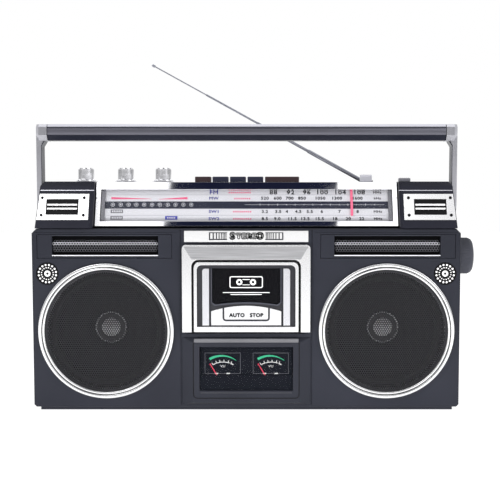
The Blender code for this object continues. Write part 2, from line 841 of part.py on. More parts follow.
def belt_outline(grow):
    """The tight loop round the flywheel and the motor pulley, grown outward."""
    near, far = Vector(CAPSTAN), Vector(MOTOR)
    between = far - near
    distance = between.length
    heading = math.atan2(between.y, between.x)
    near_radius, far_radius = FLYWHEEL_RADIUS + grow, PULLEY_RADIUS + grow
    tangent = math.acos((near_radius - far_radius) / distance)
    points = []
    near_steps, far_steps = 28, 8
    for i in range(near_steps + 1):
        angle = heading + tangent + (2 * math.pi - 2 * tangent) * i / near_steps
        points.append((near.x + near_radius * math.cos(angle), near.y + near_radius * math.sin(angle)))
    for i in range(far_steps + 1):
        angle = heading - tangent + 2 * tangent * i / far_steps
        points.append((far.x + far_radius * math.cos(angle), far.y + far_radius * math.sin(angle)))
    return points


def tape_deck():
    back = CHASSIS_FRONT + 0.002
    plate = box((-0.068, CHASSIS_FRONT, 0.078), (0.068, back, 0.172))
    posts = [
        rod("Y", (side * 0.0655, height), 0.003, FRONT + WALL + GAP, CHASSIS_FRONT + 0.001, 10)
        for side in (-1, 1)
        for height in (0.084, 0.166)
    ]
    head = box((-0.008, -0.056, 0.146), (0.008, CHASSIS_FRONT + 0.001, 0.157))
    roller_z = CAPSTAN[1] + 0.00125 + 0.0065 + GAP
    roller_pin = rod("Y", (CAPSTAN[0], roller_z), 0.0012, -0.0575, CHASSIS_FRONT + 0.001, 10)
    holes = [rod("Y", (side * REEL_X, REEL_Z), 0.0022, -0.05, -0.03, 12) for side in (-1, 1)]
    holes.append(rod("Y", CAPSTAN, 0.0020, -0.05, -0.03, 12))
    shape = joined(cut(plate, *holes), *posts, head, roller_pin)
    piece("tape_deck_chassis", shape, STEEL)

    for name, side in SIDES:
        spindle = turned(
            [
                (0, -0.0525),
                (0.0025, -0.0525),
                (0.0046, -0.0500),
                (0.0046, -0.0462),
                (0.0110, -0.0462),
                (0.0110, -0.0440),
                (0.0016, -0.0440),
                (0.0016, -0.0375),
                (0, -0.0375),
            ],
            "Y",
            (side * REEL_X, REEL_Z),
            16,
        )
        piece(f"reel_spindle_{name}", spindle, TRIM_PLASTIC, (side * REEL_X, CHASSIS_FRONT, REEL_Z))

    flywheel = turned(
        [
            (0, -0.0560),
            (0.00125, -0.0560),
            (0.00125, -0.0360),
            (FLYWHEEL_RADIUS, -0.0360),
            (FLYWHEEL_RADIUS, -0.0310),
            (0.0030, -0.0310),
            (0.0030, -0.0290),
            (0, -0.0290),
        ],
        "Y",
        CAPSTAN,
        32,
    )
    piece("capstan_flywheel", flywheel, BRASS, (CAPSTAN[0], -0.036, CAPSTAN[1]))
    roller = turned(
        [(0.0015, -0.0560), (0.0065, -0.0560), (0.0065, -0.0490), (0.0015, -0.0490)],
        "Y",
        (CAPSTAN[0], roller_z),
        20,
    )
    piece("pinch_roller", roller, BELT_RUBBER, (CAPSTAN[0], -0.0525, roller_z))

    motor = turned(
        [(0, -0.0280), (0.0150, -0.0280), (0.0160, -0.0270), (0.0160, -0.0040), (0, -0.0040)],
        "Y",
        MOTOR,
        24,
    )
    piece("tape_motor", motor, STEEL)
    pulley = turned(
        [
            (0, -0.0365),
            (0.0046, -0.0365),
            (PULLEY_RADIUS, -0.0355),
            (PULLEY_RADIUS, -0.0315),
            (0.0046, -0.0305),
            (0.0010, -0.0305),
            (0.0010, -0.0283),
            (0, -0.0283),
        ],
        "Y",
        MOTOR,
        16,
    )
    piece("motor_pulley", pulley, BRASS, (MOTOR[0], -0.0335, MOTOR[1]))
    clear, thickness = 0.0004, 0.0010
    loop = cut(
        prism(belt_outline(clear + thickness), "Y", -0.0340, -0.0328),
        prism(belt_outline(clear), "Y", -0.0400, -0.0300),
    )
    piece("drive_belt", loop, BELT_RUBBER)


def electronics():
    board = box((-0.100, 0.0120, 0.092), (0.100, 0.0136, 0.180))
    parts = [rod("Y", (x, 0.150), 0.006, -0.004, 0.0125, 12) for x in (-0.080, -0.060, 0.070)]
    parts.append(box((-0.030, -0.002, 0.165), (0.030, 0.0125, 0.175)))
    piece("main_board", joined(board, *parts), BOARD_BROWN)
    x, z = -0.150, 0.140
    core = box((x - 0.025, 0.024, z - 0.020), (x + 0.025, 0.042, z + 0.020))
    coil = beveled_box((x - 0.015, 0.014, z - 0.0195), (x + 0.015, 0.052, z + 0.0195), 0.003, 1)
    feet = [
        box((foot_x - 0.003, 0.040, z - 0.008), (foot_x + 0.003, REAR - WALL - GAP, z + 0.008))
        for foot_x in (x - 0.021, x + 0.021)
    ]
    piece("transformer", joined(core, coil, *feet), STEEL)


# --- handle ------------------------------------------------------------------------------------

def grip_outline(half=GRIP_HALF_DEPTH):
    """The grip's section across its length: a flat top with bevelled long edges."""
    middle = HANDLE_PIVOT[1]
    low_bevel, high_bevel = 0.004, 0.003
    return [
        (middle - half + low_bevel, HANDLE_BOTTOM),
        (middle + half - low_bevel, HANDLE_BOTTOM),
        (middle + half, HANDLE_BOTTOM + 0.0055),
        (middle + half, HANDLE_TOP - high_bevel),
        (middle + half - high_bevel, HANDLE_TOP),
        (middle - half + high_bevel, HANDLE_TOP),
        (middle - half, HANDLE_TOP - high_bevel),
        (middle - half, HANDLE_BOTTOM + 0.0055),
    ]


def handle_corner(side):
    """The end of the crossbar: as deep as the grip, narrowing to the leg's depth at its outer face."""
    stations = (
        (GRIP_HALF_WIDTH + GAP, GRIP_HALF_DEPTH),
        (CORNER_X, GRIP_HALF_DEPTH),
        (HANDLE_OUTER_X, LEG_HALF_DEPTH),
    )
    return loft([[(side * x, y, z) for y, z in grip_outline(half)] for x, half in stations])


def handle():
    pivot_y, pivot_z = HANDLE_PIVOT[1:]
    core_half = 0.005
    core_z = (HANDLE_TOP + HANDLE_BOTTOM) / 2
    core_low, core_high = core_z - core_half, core_z + core_half
    inside = HANDLE_OUTER_X - 0.001
    parts = []
    for side in (-1, 1):
        low, high = sorted((side * HANDLE_INNER_X, side * HANDLE_OUTER_X))
        foot = (pivot_y - LEG_HALF_DEPTH, pivot_z - LEG_HALF_DEPTH)
        leg = rounded(foot, (pivot_y + LEG_HALF_DEPTH, core_z), 0.0079, (True, True, False, False))
        parts.append(prism(leg, "X", low, high))
        parts.append(handle_corner(side))
        low, high = sorted((side * 0.2105, side * (HANDLE_INNER_X + 0.001)))
        parts.append(rod("X", HANDLE_PIVOT[1:], 0.004, low, high, 16))
    bar = box((-inside, pivot_y - core_half, core_low), (inside, pivot_y + core_half, core_high))
    piece("handle_frame", joined(bar, *parts), SILVER, HANDLE_PIVOT)
    sleeve = prism(grip_outline(), "X", -GRIP_HALF_WIDTH, GRIP_HALF_WIDTH)
    bore_half = core_half + GAP
    bore_low = (-HALF_WIDTH, pivot_y - bore_half, core_low - GAP)
    bore = box(bore_low, (HALF_WIDTH, pivot_y + bore_half, core_high + GAP))
    piece("handle_grip", cut(sleeve, bore), TRIM_PLASTIC, HANDLE_PIVOT)


# --- antenna -----------------------------------------------------------------------------------

SECTION_SIDES = 12
FIRST_LENGTH = 0.078
SECTION_SHOWN = 0.0647
SECTION_HIDDEN = 0.008


def tube(start, end, outer, bore_start=None, inner=0.0):
    """A tube along +X, its bore open at the far end; with no bore it is a solid rod."""
    if bore_start is None:
        return rod("X", (0, 0), outer, start, end, SECTION_SIDES)
    profile = [
        (0, start),
        (outer, start),
        (outer, end),
        (inner, end),
        (inner, bore_start),
        (0, bore_start),
    ]
    return turned(profile, "X", (0, 0), SECTION_SIDES)


def antenna():
    x, y, z = ANTENNA_PIVOT
    base = rod("Z", (x, y), 0.007, LEDGE_TOP + GAP, 0.2308, 20)
    stem = rod("Z", (x, y), 0.0025, LEDGE_TOP - 0.007, LEDGE_TOP + 0.001, 12)
    ears = [
        box((x - 0.004, y + low, 0.2300), (x + 0.004, y + low + 0.0018, 0.2395))
        for low in (-0.0050, 0.0032)
    ]
    pin_holes = rod("Y", (x, z), 0.0023, y - 0.01, y + 0.01, 12)
    piece("antenna_turret", cut(joined(base, stem, *ears), pin_holes), SILVER, ANTENNA_PIVOT)

    aim = Matrix.Translation(Vector(ANTENNA_PIVOT)) @ Matrix.Rotation(ANTENNA_RISE - math.pi, 4, "Y")
    tongue = box((-0.001, -0.0029, -0.0022), (0.0085, 0.0029, 0.0022))
    knuckle = rod("Y", (0, 0), 0.0031, -0.0029, 0.0029, 16)
    pin = rod("Y", (0, 0), 0.0020, -0.0050, 0.0050, 12)
    first = tube(0.0068, FIRST_LENGTH, 0.0022, 0.0090, 0.0019)
    piece(
        "antenna_section_1", moved(joined(first, tongue, knuckle, pin), aim), CHROME, ANTENNA_PIVOT
    )
    radii = ((0.00165, 0.00135), (0.00115, 0.00085), (0.00070, None))
    end = FIRST_LENGTH
    for number, (outer, inner) in enumerate(radii, start=2):
        start = end - SECTION_HIDDEN
        end += SECTION_SHOWN
        if inner:
            shape = tube(start, end, outer, start + 0.0012, inner)
        else:
            shape = joined(
                tube(start, end, outer), rod("X", (0, 0), 0.0015, end - 0.0005, end + 0.004, SECTION_SIDES)
            )
        place = aim @ Vector((start, 0, 0))
        piece(f"antenna_section_{number}", moved(shape, aim), CHROME, tuple(place))


# --- the whole object --------------------------------------------------------------------------

def build():
    front_cabinet()
    rear_cabinet()
    battery_door()
    mains_inlet()
    for name, side in SIDES:
        tweeter_housing(f"tweeter_housing_{name}", side)
        tweeter_plate(f"tweeter_plate_{name}", side)
        speaker(name, side)
        slot_grille(name, side)
    dial_bezel()
    dial_window()
    dial_scale()
    dial_pointer()
    top_panel()
    piano_keys()
    top_knob("volume_knob", VOLUME_X, HOUSING_TOP)
    top_knob("balance_knob", BALANCE_X, PANEL_TOP)
    top_knob("tone_knob", TONE_X, PANEL_TOP)
    slide_switch("band_switch", BAND_X, PANEL_TOP, 0.244, 0.0122, SILVER)
    slide_switch("function_switch", FUNCTION_X, HOUSING_TOP, 0.2406, 0.0122, TRIM_PLASTIC)
    tuning_knob()
    deck_surround()
    cassette_door()
    cassette_holder()
    meter_module()
    tape_deck()
    electronics()
    handle()
    antenna()


build()
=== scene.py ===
"""Looks of a portable radio cassette recorder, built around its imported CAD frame.

Shapes are drawn in millimetres in the cabinet's own coordinates: x from its centre line, depth from
its front face (negative is in front of it) and z above the table. Camera and lights are in metres.
"""

import json
import math

import bmesh
import bpy
from mathutils import Matrix, Vector

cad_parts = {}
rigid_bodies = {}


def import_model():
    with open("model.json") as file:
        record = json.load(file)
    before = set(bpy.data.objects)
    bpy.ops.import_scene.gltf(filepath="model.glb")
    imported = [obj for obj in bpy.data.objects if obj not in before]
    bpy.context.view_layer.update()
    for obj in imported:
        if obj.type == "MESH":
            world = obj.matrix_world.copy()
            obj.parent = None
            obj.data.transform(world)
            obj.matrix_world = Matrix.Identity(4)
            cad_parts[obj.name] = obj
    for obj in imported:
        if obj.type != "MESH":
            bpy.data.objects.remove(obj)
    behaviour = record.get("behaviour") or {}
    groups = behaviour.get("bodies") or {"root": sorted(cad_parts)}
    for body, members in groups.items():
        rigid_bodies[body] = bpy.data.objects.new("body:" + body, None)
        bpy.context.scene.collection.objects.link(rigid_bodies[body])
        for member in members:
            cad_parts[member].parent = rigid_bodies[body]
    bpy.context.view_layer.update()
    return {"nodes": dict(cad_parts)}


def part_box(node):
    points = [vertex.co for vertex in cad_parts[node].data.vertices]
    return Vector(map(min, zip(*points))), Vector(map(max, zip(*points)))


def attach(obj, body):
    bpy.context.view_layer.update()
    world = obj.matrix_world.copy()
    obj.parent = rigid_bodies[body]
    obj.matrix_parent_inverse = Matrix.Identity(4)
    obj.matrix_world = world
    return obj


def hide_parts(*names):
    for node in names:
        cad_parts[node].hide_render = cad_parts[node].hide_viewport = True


for leftover in list(bpy.data.objects):
    bpy.data.objects.remove(leftover)
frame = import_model()

# --- places read from the frame ---

CABINET_LOW, CABINET_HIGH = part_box("front_cabinet")
CENTRE_X = (CABINET_LOW.x + CABINET_HIGH.x) / 2
FACE_Y = CABINET_LOW.y
MM = 0.001
TO_WORLD = Matrix.Translation((CENTRE_X, FACE_Y, 0.0)) @ Matrix.Scale(MM, 4)


def local_box(node):
    """A CAD node's box in the cabinet's own coordinates."""
    low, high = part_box(node)
    shift = Vector((CENTRE_X, FACE_Y, 0.0))
    return (low - shift) / MM, (high - shift) / MM


def local_centre(node):
    low, high = local_box(node)
    return (low + high) / 2


HALF_WIDTH = (CABINET_HIGH.x - CABINET_LOW.x) / 2 / MM
CABINET_TOP = CABINET_HIGH.z / MM
SPLIT_DEPTH = (CABINET_HIGH.y - CABINET_LOW.y) / MM
WALL = 2.5
LEAN = math.radians(22)
SIDES = (("left", -1), ("right", 1))


# --- shape helpers ---

def as_mesh(name, shape):
    mesh = bpy.data.meshes.new(name)
    shape.to_mesh(mesh)
    shape.free()
    return mesh


def placed(name, data):
    item = bpy.data.objects.new(name, data)
    bpy.context.scene.collection.objects.link(item)
    return item


def polar(centre, radius, angle):
    return centre[0] + radius * math.cos(angle), centre[1] + radius * math.sin(angle)


def solid(shape):
    bmesh.ops.recalc_face_normals(shape, faces=shape.faces)
    return shape


def box(low, high, bevel=0.0, segments=3):
    shape = bmesh.new()
    bmesh.ops.create_cube(shape, size=1.0)
    for vertex in shape.verts:
        vertex.co = Vector(low[i] if vertex.co[i] < 0 else high[i] for i in range(3))
    if bevel:
        bmesh.ops.bevel(shape, geom=shape.edges[:], offset=bevel, segments=segments, affect="EDGES",
            profile=0.5)
    return solid(shape)


def on_axis(axis, a, b, along):
    return {"X": (along, a, b), "Y": (a, along, b), "Z": (a, b, along)}[axis]


def loft(rings, closed=True):
    shape = bmesh.new()
    rows = [[shape.verts.new(point) for point in ring] for ring in rings]
    count = len(rings[0])
    for lower, upper in zip(rows, rows[1:]):
        for i in range(count):
            j = (i + 1) % count
            shape.faces.new((lower[i], lower[j], upper[j], upper[i]))
    if closed:
        shape.faces.new(rows[0])
        shape.faces.new(rows[-1])
    return solid(shape)


def prism(outline, axis, start, end):
    return loft([[on_axis(axis, a, b, along) for a, b in outline] for along in (start, end)])


def circle(centre, radius, segments, turn=0.5):
    return [polar(centre, radius, math.tau / segments * (i + turn)) for i in range(segments)]


def rod(axis, centre, radius, start, end, segments=32):
    return prism(circle(centre, radius, segments), axis, start, end)


def rounded(low, high, radius, corners=(True, True, True, True), steps=6):
    """A rectangle's outline with round corners: bottom left, bottom right, top right, top left."""
    points = []
    centres = [(low[0] + radius, low[1] + radius, 180), (high[0] - radius, low[1] + radius, 270),
        (high[0] - radius, high[1] - radius, 0), (low[0] + radius, high[1] - radius, 90)]
    sharp = [(low[0], low[1]), (high[0], low[1]), (high[0], high[1]), (low[0], high[1])]
    for (x, y, start), is_round, corner in zip(centres, corners, sharp):
        if not is_round:
            points.append(corner)
            continue
        for i in range(steps + 1):
            points.append(polar((x, y), radius, math.radians(start + 90 * i / steps)))
    return points


def turned(profile, axis, centre, segments, rib_count=0, rib_depth=0.0, ribbed_points=()):
    """A closed (radius, along) profile turned about an axis; chosen points can carry ribs."""
    shape = bmesh.new()
    rings = []
    for index, (radius, along) in enumerate(profile):
        if radius == 0:
            rings.append([shape.verts.new(on_axis(axis, *centre, along))])
            continue
        ring = []
        for i in range(segments):
            angle = 2 * math.pi * (i + 0.5) / segments
            reach = radius
            if index in ribbed_points:
                reach -= rib_depth * (0.5 + 0.5 * math.cos(rib_count * angle))
            ring.append(shape.verts.new(on_axis(axis, *polar(centre, reach, angle), along)))
        rings.append(ring)
    for ring, following in zip(rings, rings[1:] + rings[:1]):
        if len(ring) == 1 and len(following) == 1:
            continue
        for i in range(segments):
            j = (i + 1) % segments
            corners = [ring[i % len(ring)], ring[j % len(ring)]]
            corners += [following[j % len(following)], following[i % len(following)]]
            shape.faces.new(list(dict.fromkeys(corners)))
    return solid(shape)


def moved(shape, matrix):
    shape.transform(matrix)
    return shape


def at(x, y, z):
    return Matrix.Translation((x, y, z))


def span(side, inner, outer):
    """Two distances from the centre line, as a low and a high x on one side."""
    return sorted((side * inner, side * outer))


def sided_box(side, low, high, *bevel):
    """A box described for the right side; side -1 mirrors it to the left."""
    near, far = span(side, low[0], high[0])
    return box((near, *low[1:]), (far, *high[1:]), *bevel)


def leaning(x, depth, z):
    """The frame of a face that leans back: x across, depth into it, z up the slope."""
    return at(x, depth, z) @ Matrix.Rotation(-LEAN, 4, "X")


def merged(*shapes):
    """Several shapes as one mesh, without joining their volumes."""
    whole = bmesh.new()
    for shape in shapes:
        mesh = as_mesh("part", shape)
        whole.from_mesh(mesh)
        bpy.data.meshes.remove(mesh)
    return whole


def combined(shape, others, operation):
    """A shape joined with, or cut by, others."""
    holders = [placed("step", as_mesh("step", item)) for item in (shape, *others)]
    body = holders[0]
    for tool in holders[1:]:
        step = body.modifiers.new("step", "BOOLEAN")
        step.object = tool
        step.operation = operation
        step.solver = "EXACT"
    result = bmesh.new()
    result.from_object(body, bpy.context.evaluated_depsgraph_get())
    bmesh.ops.remove_doubles(result, verts=result.verts, dist=1e-3)
    for holder in holders:
        mesh = holder.data
        bpy.data.objects.remove(holder)
        bpy.data.meshes.remove(mesh)
    return result


def joined(shape, *others):
    return combined(shape, others, "UNION")


def cut(shape, *others):
    return combined(shape, others, "DIFFERENCE")


def soften(item, width, segments=2):
    """Rounds an object's hard edges."""
    bevel = item.modifiers.new("edge", "BEVEL")
    bevel.width = width * MM
    bevel.segments = segments
    bevel.limit_method = "ANGLE"
    bevel.angle_limit = math.radians(30)
    bevel.harden_normals = True


def add(name, shape, finish, slot, body="cabinet", node=None, edge=0.0, sharp=35):
    """A finished piece riding on a CAD body; it may stand in for a CAD node. Its slot name only decides
    whether it casts shadows.
    """
    shape = merged(*shape) if isinstance(shape, list) else shape
    mesh = as_mesh(name, moved(shape, TO_WORLD))
    mesh.materials.append(finish)
    mesh.shade_smooth()
    mesh.set_sharp_from_angle(angle=math.radians(sharp))
    item = placed(name, mesh)
    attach(item, body)
    if edge:
        soften(item, edge)
    if node:
        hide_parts(node)
    item.visible_shadow = slot not in ("clear_window", "smoked_window")
    return item


# --- materials ---

def set_inputs(node, **values):
    """Sets a node's sockets; an underscore in a name stands for a space."""
    for name, value in values.items():
        node.inputs[name.replace("_", " ")].default_value = value


def new_node(tree, kind, **values):
    node = tree.nodes.new("ShaderNode" + kind)
    set_inputs(node, **values)
    return node


def new_material(name, color, roughness, metallic=0.0, **more):
    made = bpy.data.materials.new(name)
    made.use_nodes = True
    shader = made.node_tree.nodes["Principled BSDF"]
    set_inputs(shader, Base_Color=(*color, 1.0), Roughness=roughness, Metallic=metallic, **more)
    return made, made.node_tree, shader


def object_noise(tree, scale, detail=3.0, stretch=(1.0, 1.0, 1.0)):
    """A noise in object coordinates, stretched for brushed or pressed grain."""
    place = new_node(tree, "TexCoord")
    mapping = new_node(tree, "Mapping", Scale=stretch)
    noise = new_node(tree, "TexNoise", Scale=scale, Detail=detail)
    tree.links.new(place.outputs["Object"], mapping.inputs["Vector"])
    tree.links.new(mapping.outputs["Vector"], noise.inputs["Vector"])
    return noise.outputs["Fac"]


def spread(tree, value, low, high, target):
    """Drives a number socket between low and high."""
    ranger = new_node(tree, "MapRange", From_Min=0.3, From_Max=0.7, To_Min=low, To_Max=high)
    tree.links.new(value, ranger.inputs["Value"])
    tree.links.new(ranger.outputs["Result"], target)


def tint(tree, value, dark, light, target):
    """Drives a colour socket between two colours."""
    ramp = new_node(tree, "ValToRGB")
    for element, position, color in zip(ramp.color_ramp.elements, (0.3, 0.7), (dark, light)):
        element.position = position
        element.color = (*color, 1.0)
    tree.links.new(value, ramp.inputs["Fac"])
    tree.links.new(ramp.outputs["Color"], target)


def bump(tree, value, shader, distance, strength=1.0):
    node = new_node(tree, "Bump", Distance=distance, Strength=strength)
    tree.links.new(value, node.inputs["Height"])
    tree.links.new(node.outputs["Normal"], shader.inputs["Normal"])


def scaled(color, factor):
    return tuple(channel * factor for channel in color)


def moulded(name, color, roughness=0.42, grain=1500.0, relief=0.00004, sheen=0.5):
    """Moulded plastic: a fine spark-eroded grain and slow changes of shade and gloss."""
    made, tree, shader = new_material(name, color, roughness, Specular_IOR_Level=sheen)
    slow = object_noise(tree, 14.0)
    tint(tree, slow, scaled(color, 0.88), scaled(color, 1.12), shader.inputs["Base Color"])
    spread(tree, object_noise(tree, 60.0), roughness - 0.05, roughness + 0.06, shader.inputs["Roughness"])
    bump(tree, object_noise(tree, grain, 2.0), shader, relief)
    return made


def brushed(name, color, roughness=0.3, stretch=(4.0, 260.0, 260.0), contrast=0.12, anisotropy=0.5):
    """Metal brushed along one direction."""
    made, tree, shader = new_material(name, color, roughness, 1.0, Anisotropic=anisotropy)
    lines = object_noise(tree, 12.0, 5.0, stretch)
    tint(tree, lines, scaled(color, 1 - contrast), scaled(color, 1 + contrast / 3),
        shader.inputs["Base Color"])
    spread(tree, lines, roughness - 0.06, roughness + 0.08, shader.inputs["Roughness"])
    bump(tree, lines, shader, 0.00001, 0.5)
    return made


def plated(name, color, roughness=0.1):
    """Bright plating with a faint haze."""
    made, tree, shader = new_material(name, color, roughness, 1.0)
    haze = object_noise(tree, 35.0, 4.0)
    spread(tree, haze, max(roughness - 0.03, 0.02), roughness + 0.05, shader.inputs["Roughness"])
    tint(tree, haze, scaled(color, 0.96), color, shader.inputs["Base Color"])
    return made


def printed(name, color, roughness=0.40, gloss=0.0):
    """A printed or painted layer with slightly uneven ink."""
    made, tree, shader = new_material(name, color, roughness, Coat_Weight=gloss, Coat_Roughness=0.1)
    tint(tree, object_noise(tree, 900.0, 2.0), scaled(color, 0.93), color, shader.inputs["Base Color"])
    return made


def pane(name, color, opacity, sheen=0.5):
    """A thin moulded window: clear or smoked, with a polished surface."""
    return new_material(name, color, 0.03, Alpha=opacity, Specular_IOR_Level=sheen)[0]


CABINET = moulded("cabinet_moulding", (0.0182, 0.0194, 0.0265), 0.45, sheen=0.12)
CABINET_REAR = moulded("rear_moulding", (0.0070, 0.0080, 0.0130), 0.50, 1100.0, 0.00007)
HOUSING = moulded("housing_moulding", (0.0150, 0.0155, 0.0230), 0.42, sheen=0.10)
RECESS = moulded("door_recess", (0.0260, 0.0260, 0.0300), 0.40, sheen=0.15)
METER_MOULDING = moulded("meter_moulding", (0.0172, 0.0184, 0.0252), 0.42, sheen=0.15)
# A lighter copy of the meter moulding: painted highlight on the frame's upward-facing top bevel.
METER_BEVEL_HIGHLIT = moulded("meter_bevel", (0.100, 0.100, 0.110), 0.35)
METER_EDGE = moulded("meter_edge", (0.0260, 0.0270, 0.0340), 0.40)
BLACK = moulded("black_plastic", (0.0035, 0.0035, 0.0042), 0.45, sheen=0.15)
# Near-black sheets standing in for the shade inside openings: painted shade.
SHADE_BLACK = moulded("painted_inside_shade", (0.0020, 0.0020, 0.0024), 0.80, sheen=0.05)
GREY_TRIM = moulded("grey_trim", (0.050, 0.052, 0.066), 0.40, sheen=0.2)
# Painted highlight for the blocks' rounded shoulder edge.
SHOULDER_HIGHLIGHT = plated("shoulder_painted_highlight", (0.62, 0.62, 0.68), 0.25)
KEY_BLUE = moulded("key_navy", (0.018, 0.020, 0.050), 0.30)
KEY_BROWN = moulded("key_brown", (0.045, 0.022, 0.026), 0.30)
SWITCH_GREY = moulded("switch_grey", (0.30, 0.30, 0.34), 0.35)
SWITCH_LIGHT = moulded("switch_light", (0.62, 0.62, 0.68), 0.30)
GRIP_DARK = moulded("grip_dark", (0.0120, 0.0130, 0.0220), 0.35, sheen=0.20)
GRIP_GREY = brushed("grip_strip", (0.200, 0.198, 0.235), 0.38)
RUBBER = moulded("rubber", (0.012, 0.012, 0.012), 0.75, 700.0)
SILVER = brushed("silver_brushed", (0.80, 0.80, 0.84), 0.26)
# Darker brushed silver: real streaks, and painted shade for the surround's top bevel.
BEVEL_SILVER_SHADED = brushed("bevel_brushed_painted_shade", (0.64, 0.64, 0.66), 0.34, (2.0, 300.0, 300.0), 0.40, 0.0)
CROWN = brushed("grip_crown", (0.46, 0.46, 0.51), 0.30)
SILVER_PLATE = plated("silver_plate", (0.95, 0.95, 0.96), 0.20)
SILVER_LEG = brushed("silver_leg", (0.52, 0.52, 0.56), 0.34, (260.0, 260.0, 4.0), 0.08, 0.3)
GUIDE_SILVER = brushed("guide_silver", (0.86, 0.86, 0.90), 0.30, (260.0, 260.0, 4.0), 0.05, 0.0)
# Dark skin on the legs' inner faces: painted reflection of the dark surroundings.
LEG_INNER_SHADE = moulded("leg_inner_painted_reflection", (0.030, 0.032, 0.045), 0.35)
CHROME = plated("chrome", (0.90, 0.90, 0.93), 0.07)
# Chrome darkened so the thin mast reads as a dark line: painted shade.
MAST_CHROME_SHADED = plated("mast_chrome_painted_shade", (0.36, 0.37, 0.42), 0.16)
DIAL_CHROME = plated("dial_chrome", (0.93, 0.93, 0.95), 0.03)
KNOB_SILVER = plated("knob_silver", (0.90, 0.90, 0.92), 0.08)
RING_CHROME = plated("ring_chrome", (0.95, 0.95, 0.96), 0.16)
STEEL = brushed("zinc_steel", (0.55, 0.56, 0.58), 0.35, (30.0, 30.0, 30.0), 0.2, 0.0)
BRASS = brushed("turned_brass", (0.75, 0.55, 0.22), 0.28, (60.0, 60.0, 60.0), 0.15, 0.0)
GRILLE = plated("grille_paint", (0.054, 0.054, 0.059), 0.42)
# The louvre mesh in two copies of one finish: a lit one (painted highlight) and a shaded one (painted
# shade).
SLOT_MESH_HIGHLIT = plated("slot_mesh_painted_highlight", (0.75, 0.75, 0.80), 0.30)
SLOT_SHADE = plated("slot_shade", (0.095, 0.095, 0.105), 0.34)
SCALE_WHITE = printed("scale_silver", (0.62, 0.62, 0.66))
PRINT_BLACK = printed("print_black", (0.006, 0.006, 0.012), 0.35)
PRINT_NAVY = printed("print_navy", (0.010, 0.013, 0.030), 0.30)
PRINT_GREY = printed("print_grey", (0.16, 0.16, 0.18))
PRINT_LINE = printed("print_line", (0.36, 0.36, 0.40))
METER_LINE = printed("meter_line", (0.085, 0.085, 0.100))
PRINT_BLUE = printed("print_blue", (0.050, 0.055, 0.36))
PRINT_PINK = printed("print_pink", (0.72, 0.10, 0.22))
PRINT_PALE = printed("print_pale", (0.62, 0.62, 0.66))
PRINT_WHITE = printed("print_white", (0.78, 0.78, 0.78))
BADGE_WHITE = printed("badge_white", (0.50, 0.50, 0.50))
METER_GREEN = printed("meter_green", (0.030, 0.42, 0.215))
METER_RED = printed("meter_red", (0.72, 0.035, 0.085), 0.35)
METER_DARK = moulded("meter_dark", (0.0075, 0.0085, 0.0120), 0.60, 900.0, 0.0, 0.05)
POINTER = printed("pointer_red", (0.88, 0.14, 0.26), 0.25, 0.4)
WINDOW = pane("dial_acrylic", (0.05, 0.05, 0.055), 0.06)
SMOKE = pane("smoked_acrylic", (0.004, 0.004, 0.005), 0.72, 0.06)
METER_PANE = pane("meter_acrylic", (0.004, 0.005, 0.008), 0.12, 0.12)
CONE = moulded("pressed_paper", (0.010, 0.010, 0.011), 0.85, 500.0, 0.00015)
SURROUND = moulded("cone_surround", (0.010, 0.010, 0.010), 0.55)
DUST_CAP = moulded("dust_cap", (0.030, 0.030, 0.032), 0.45, 650.0, 0.0001)
# Bright rings on the dust cap: painted highlight of its glossy dome.
CAP_HIGHLIGHT = plated("cap_painted_highlight", (0.62, 0.62, 0.64), 0.32)
BOARD = moulded("board", (0.23, 0.13, 0.05), 0.55)


# --- camera, floor and light ---

CAMERA_DISTANCE = 1.050
CAMERA_ASIDE = 0.020
CAMERA_HEIGHT = 0.2151
CAMERA_PITCH = math.radians(4.45)


def make_camera():
    data = bpy.data.cameras.new("camera")
    data.sensor_width = 36.0
    data.lens = 73.9
    data.shift_x = -0.0315
    data.shift_y = 0.0640
    data.clip_start = 0.01
    camera = placed("camera", data)
    camera.location = (CENTRE_X + CAMERA_ASIDE, FACE_Y - CAMERA_DISTANCE, CAMERA_HEIGHT)
    camera.rotation_euler = (math.pi / 2 - CAMERA_PITCH, 0.0, 0.0)
    bpy.context.scene.camera = camera


def light(name, place, target, size, power):
    data = bpy.data.lights.new(name, "AREA")
    data.shape = "RECTANGLE"
    data.size, data.size_y = size
    data.energy = power
    lamp = placed(name, data)
    lamp.location = place
    lamp.rotation_euler = (Vector(target) - Vector(place)).to_track_quat("-Z", "Y").to_euler()
    return lamp


def card(name, centre, half_x, half_up, facing, color, strength, skew=0.0):
    """A studio card that shows only in reflections."""
    shape = bmesh.new()
    up = Vector((0.0, facing.z, -facing.y))
    corners = []
    for a, b in ((-1, -1), (1, -1), (1, 1), (-1, 1)):
        across = half_x * a - (skew * b if a < 0 else 0.0)
        corners.append(shape.verts.new(Vector(centre) + Vector((across, 0.0, 0.0)) + up * (half_up * b)))
    shape.faces.new(corners)
    glow = {"Specular_IOR_Level": 0.0, "Emission_Color": (*color, 1.0), "Emission_Strength": strength}
    item = placed(name, as_mesh(name, shape))
    item.data.materials.append(new_material(name, (0.0, 0.0, 0.0), 0.5, **glow)[0])
    item.visible_camera = item.visible_diffuse = item.visible_shadow = item.visible_transmission = False


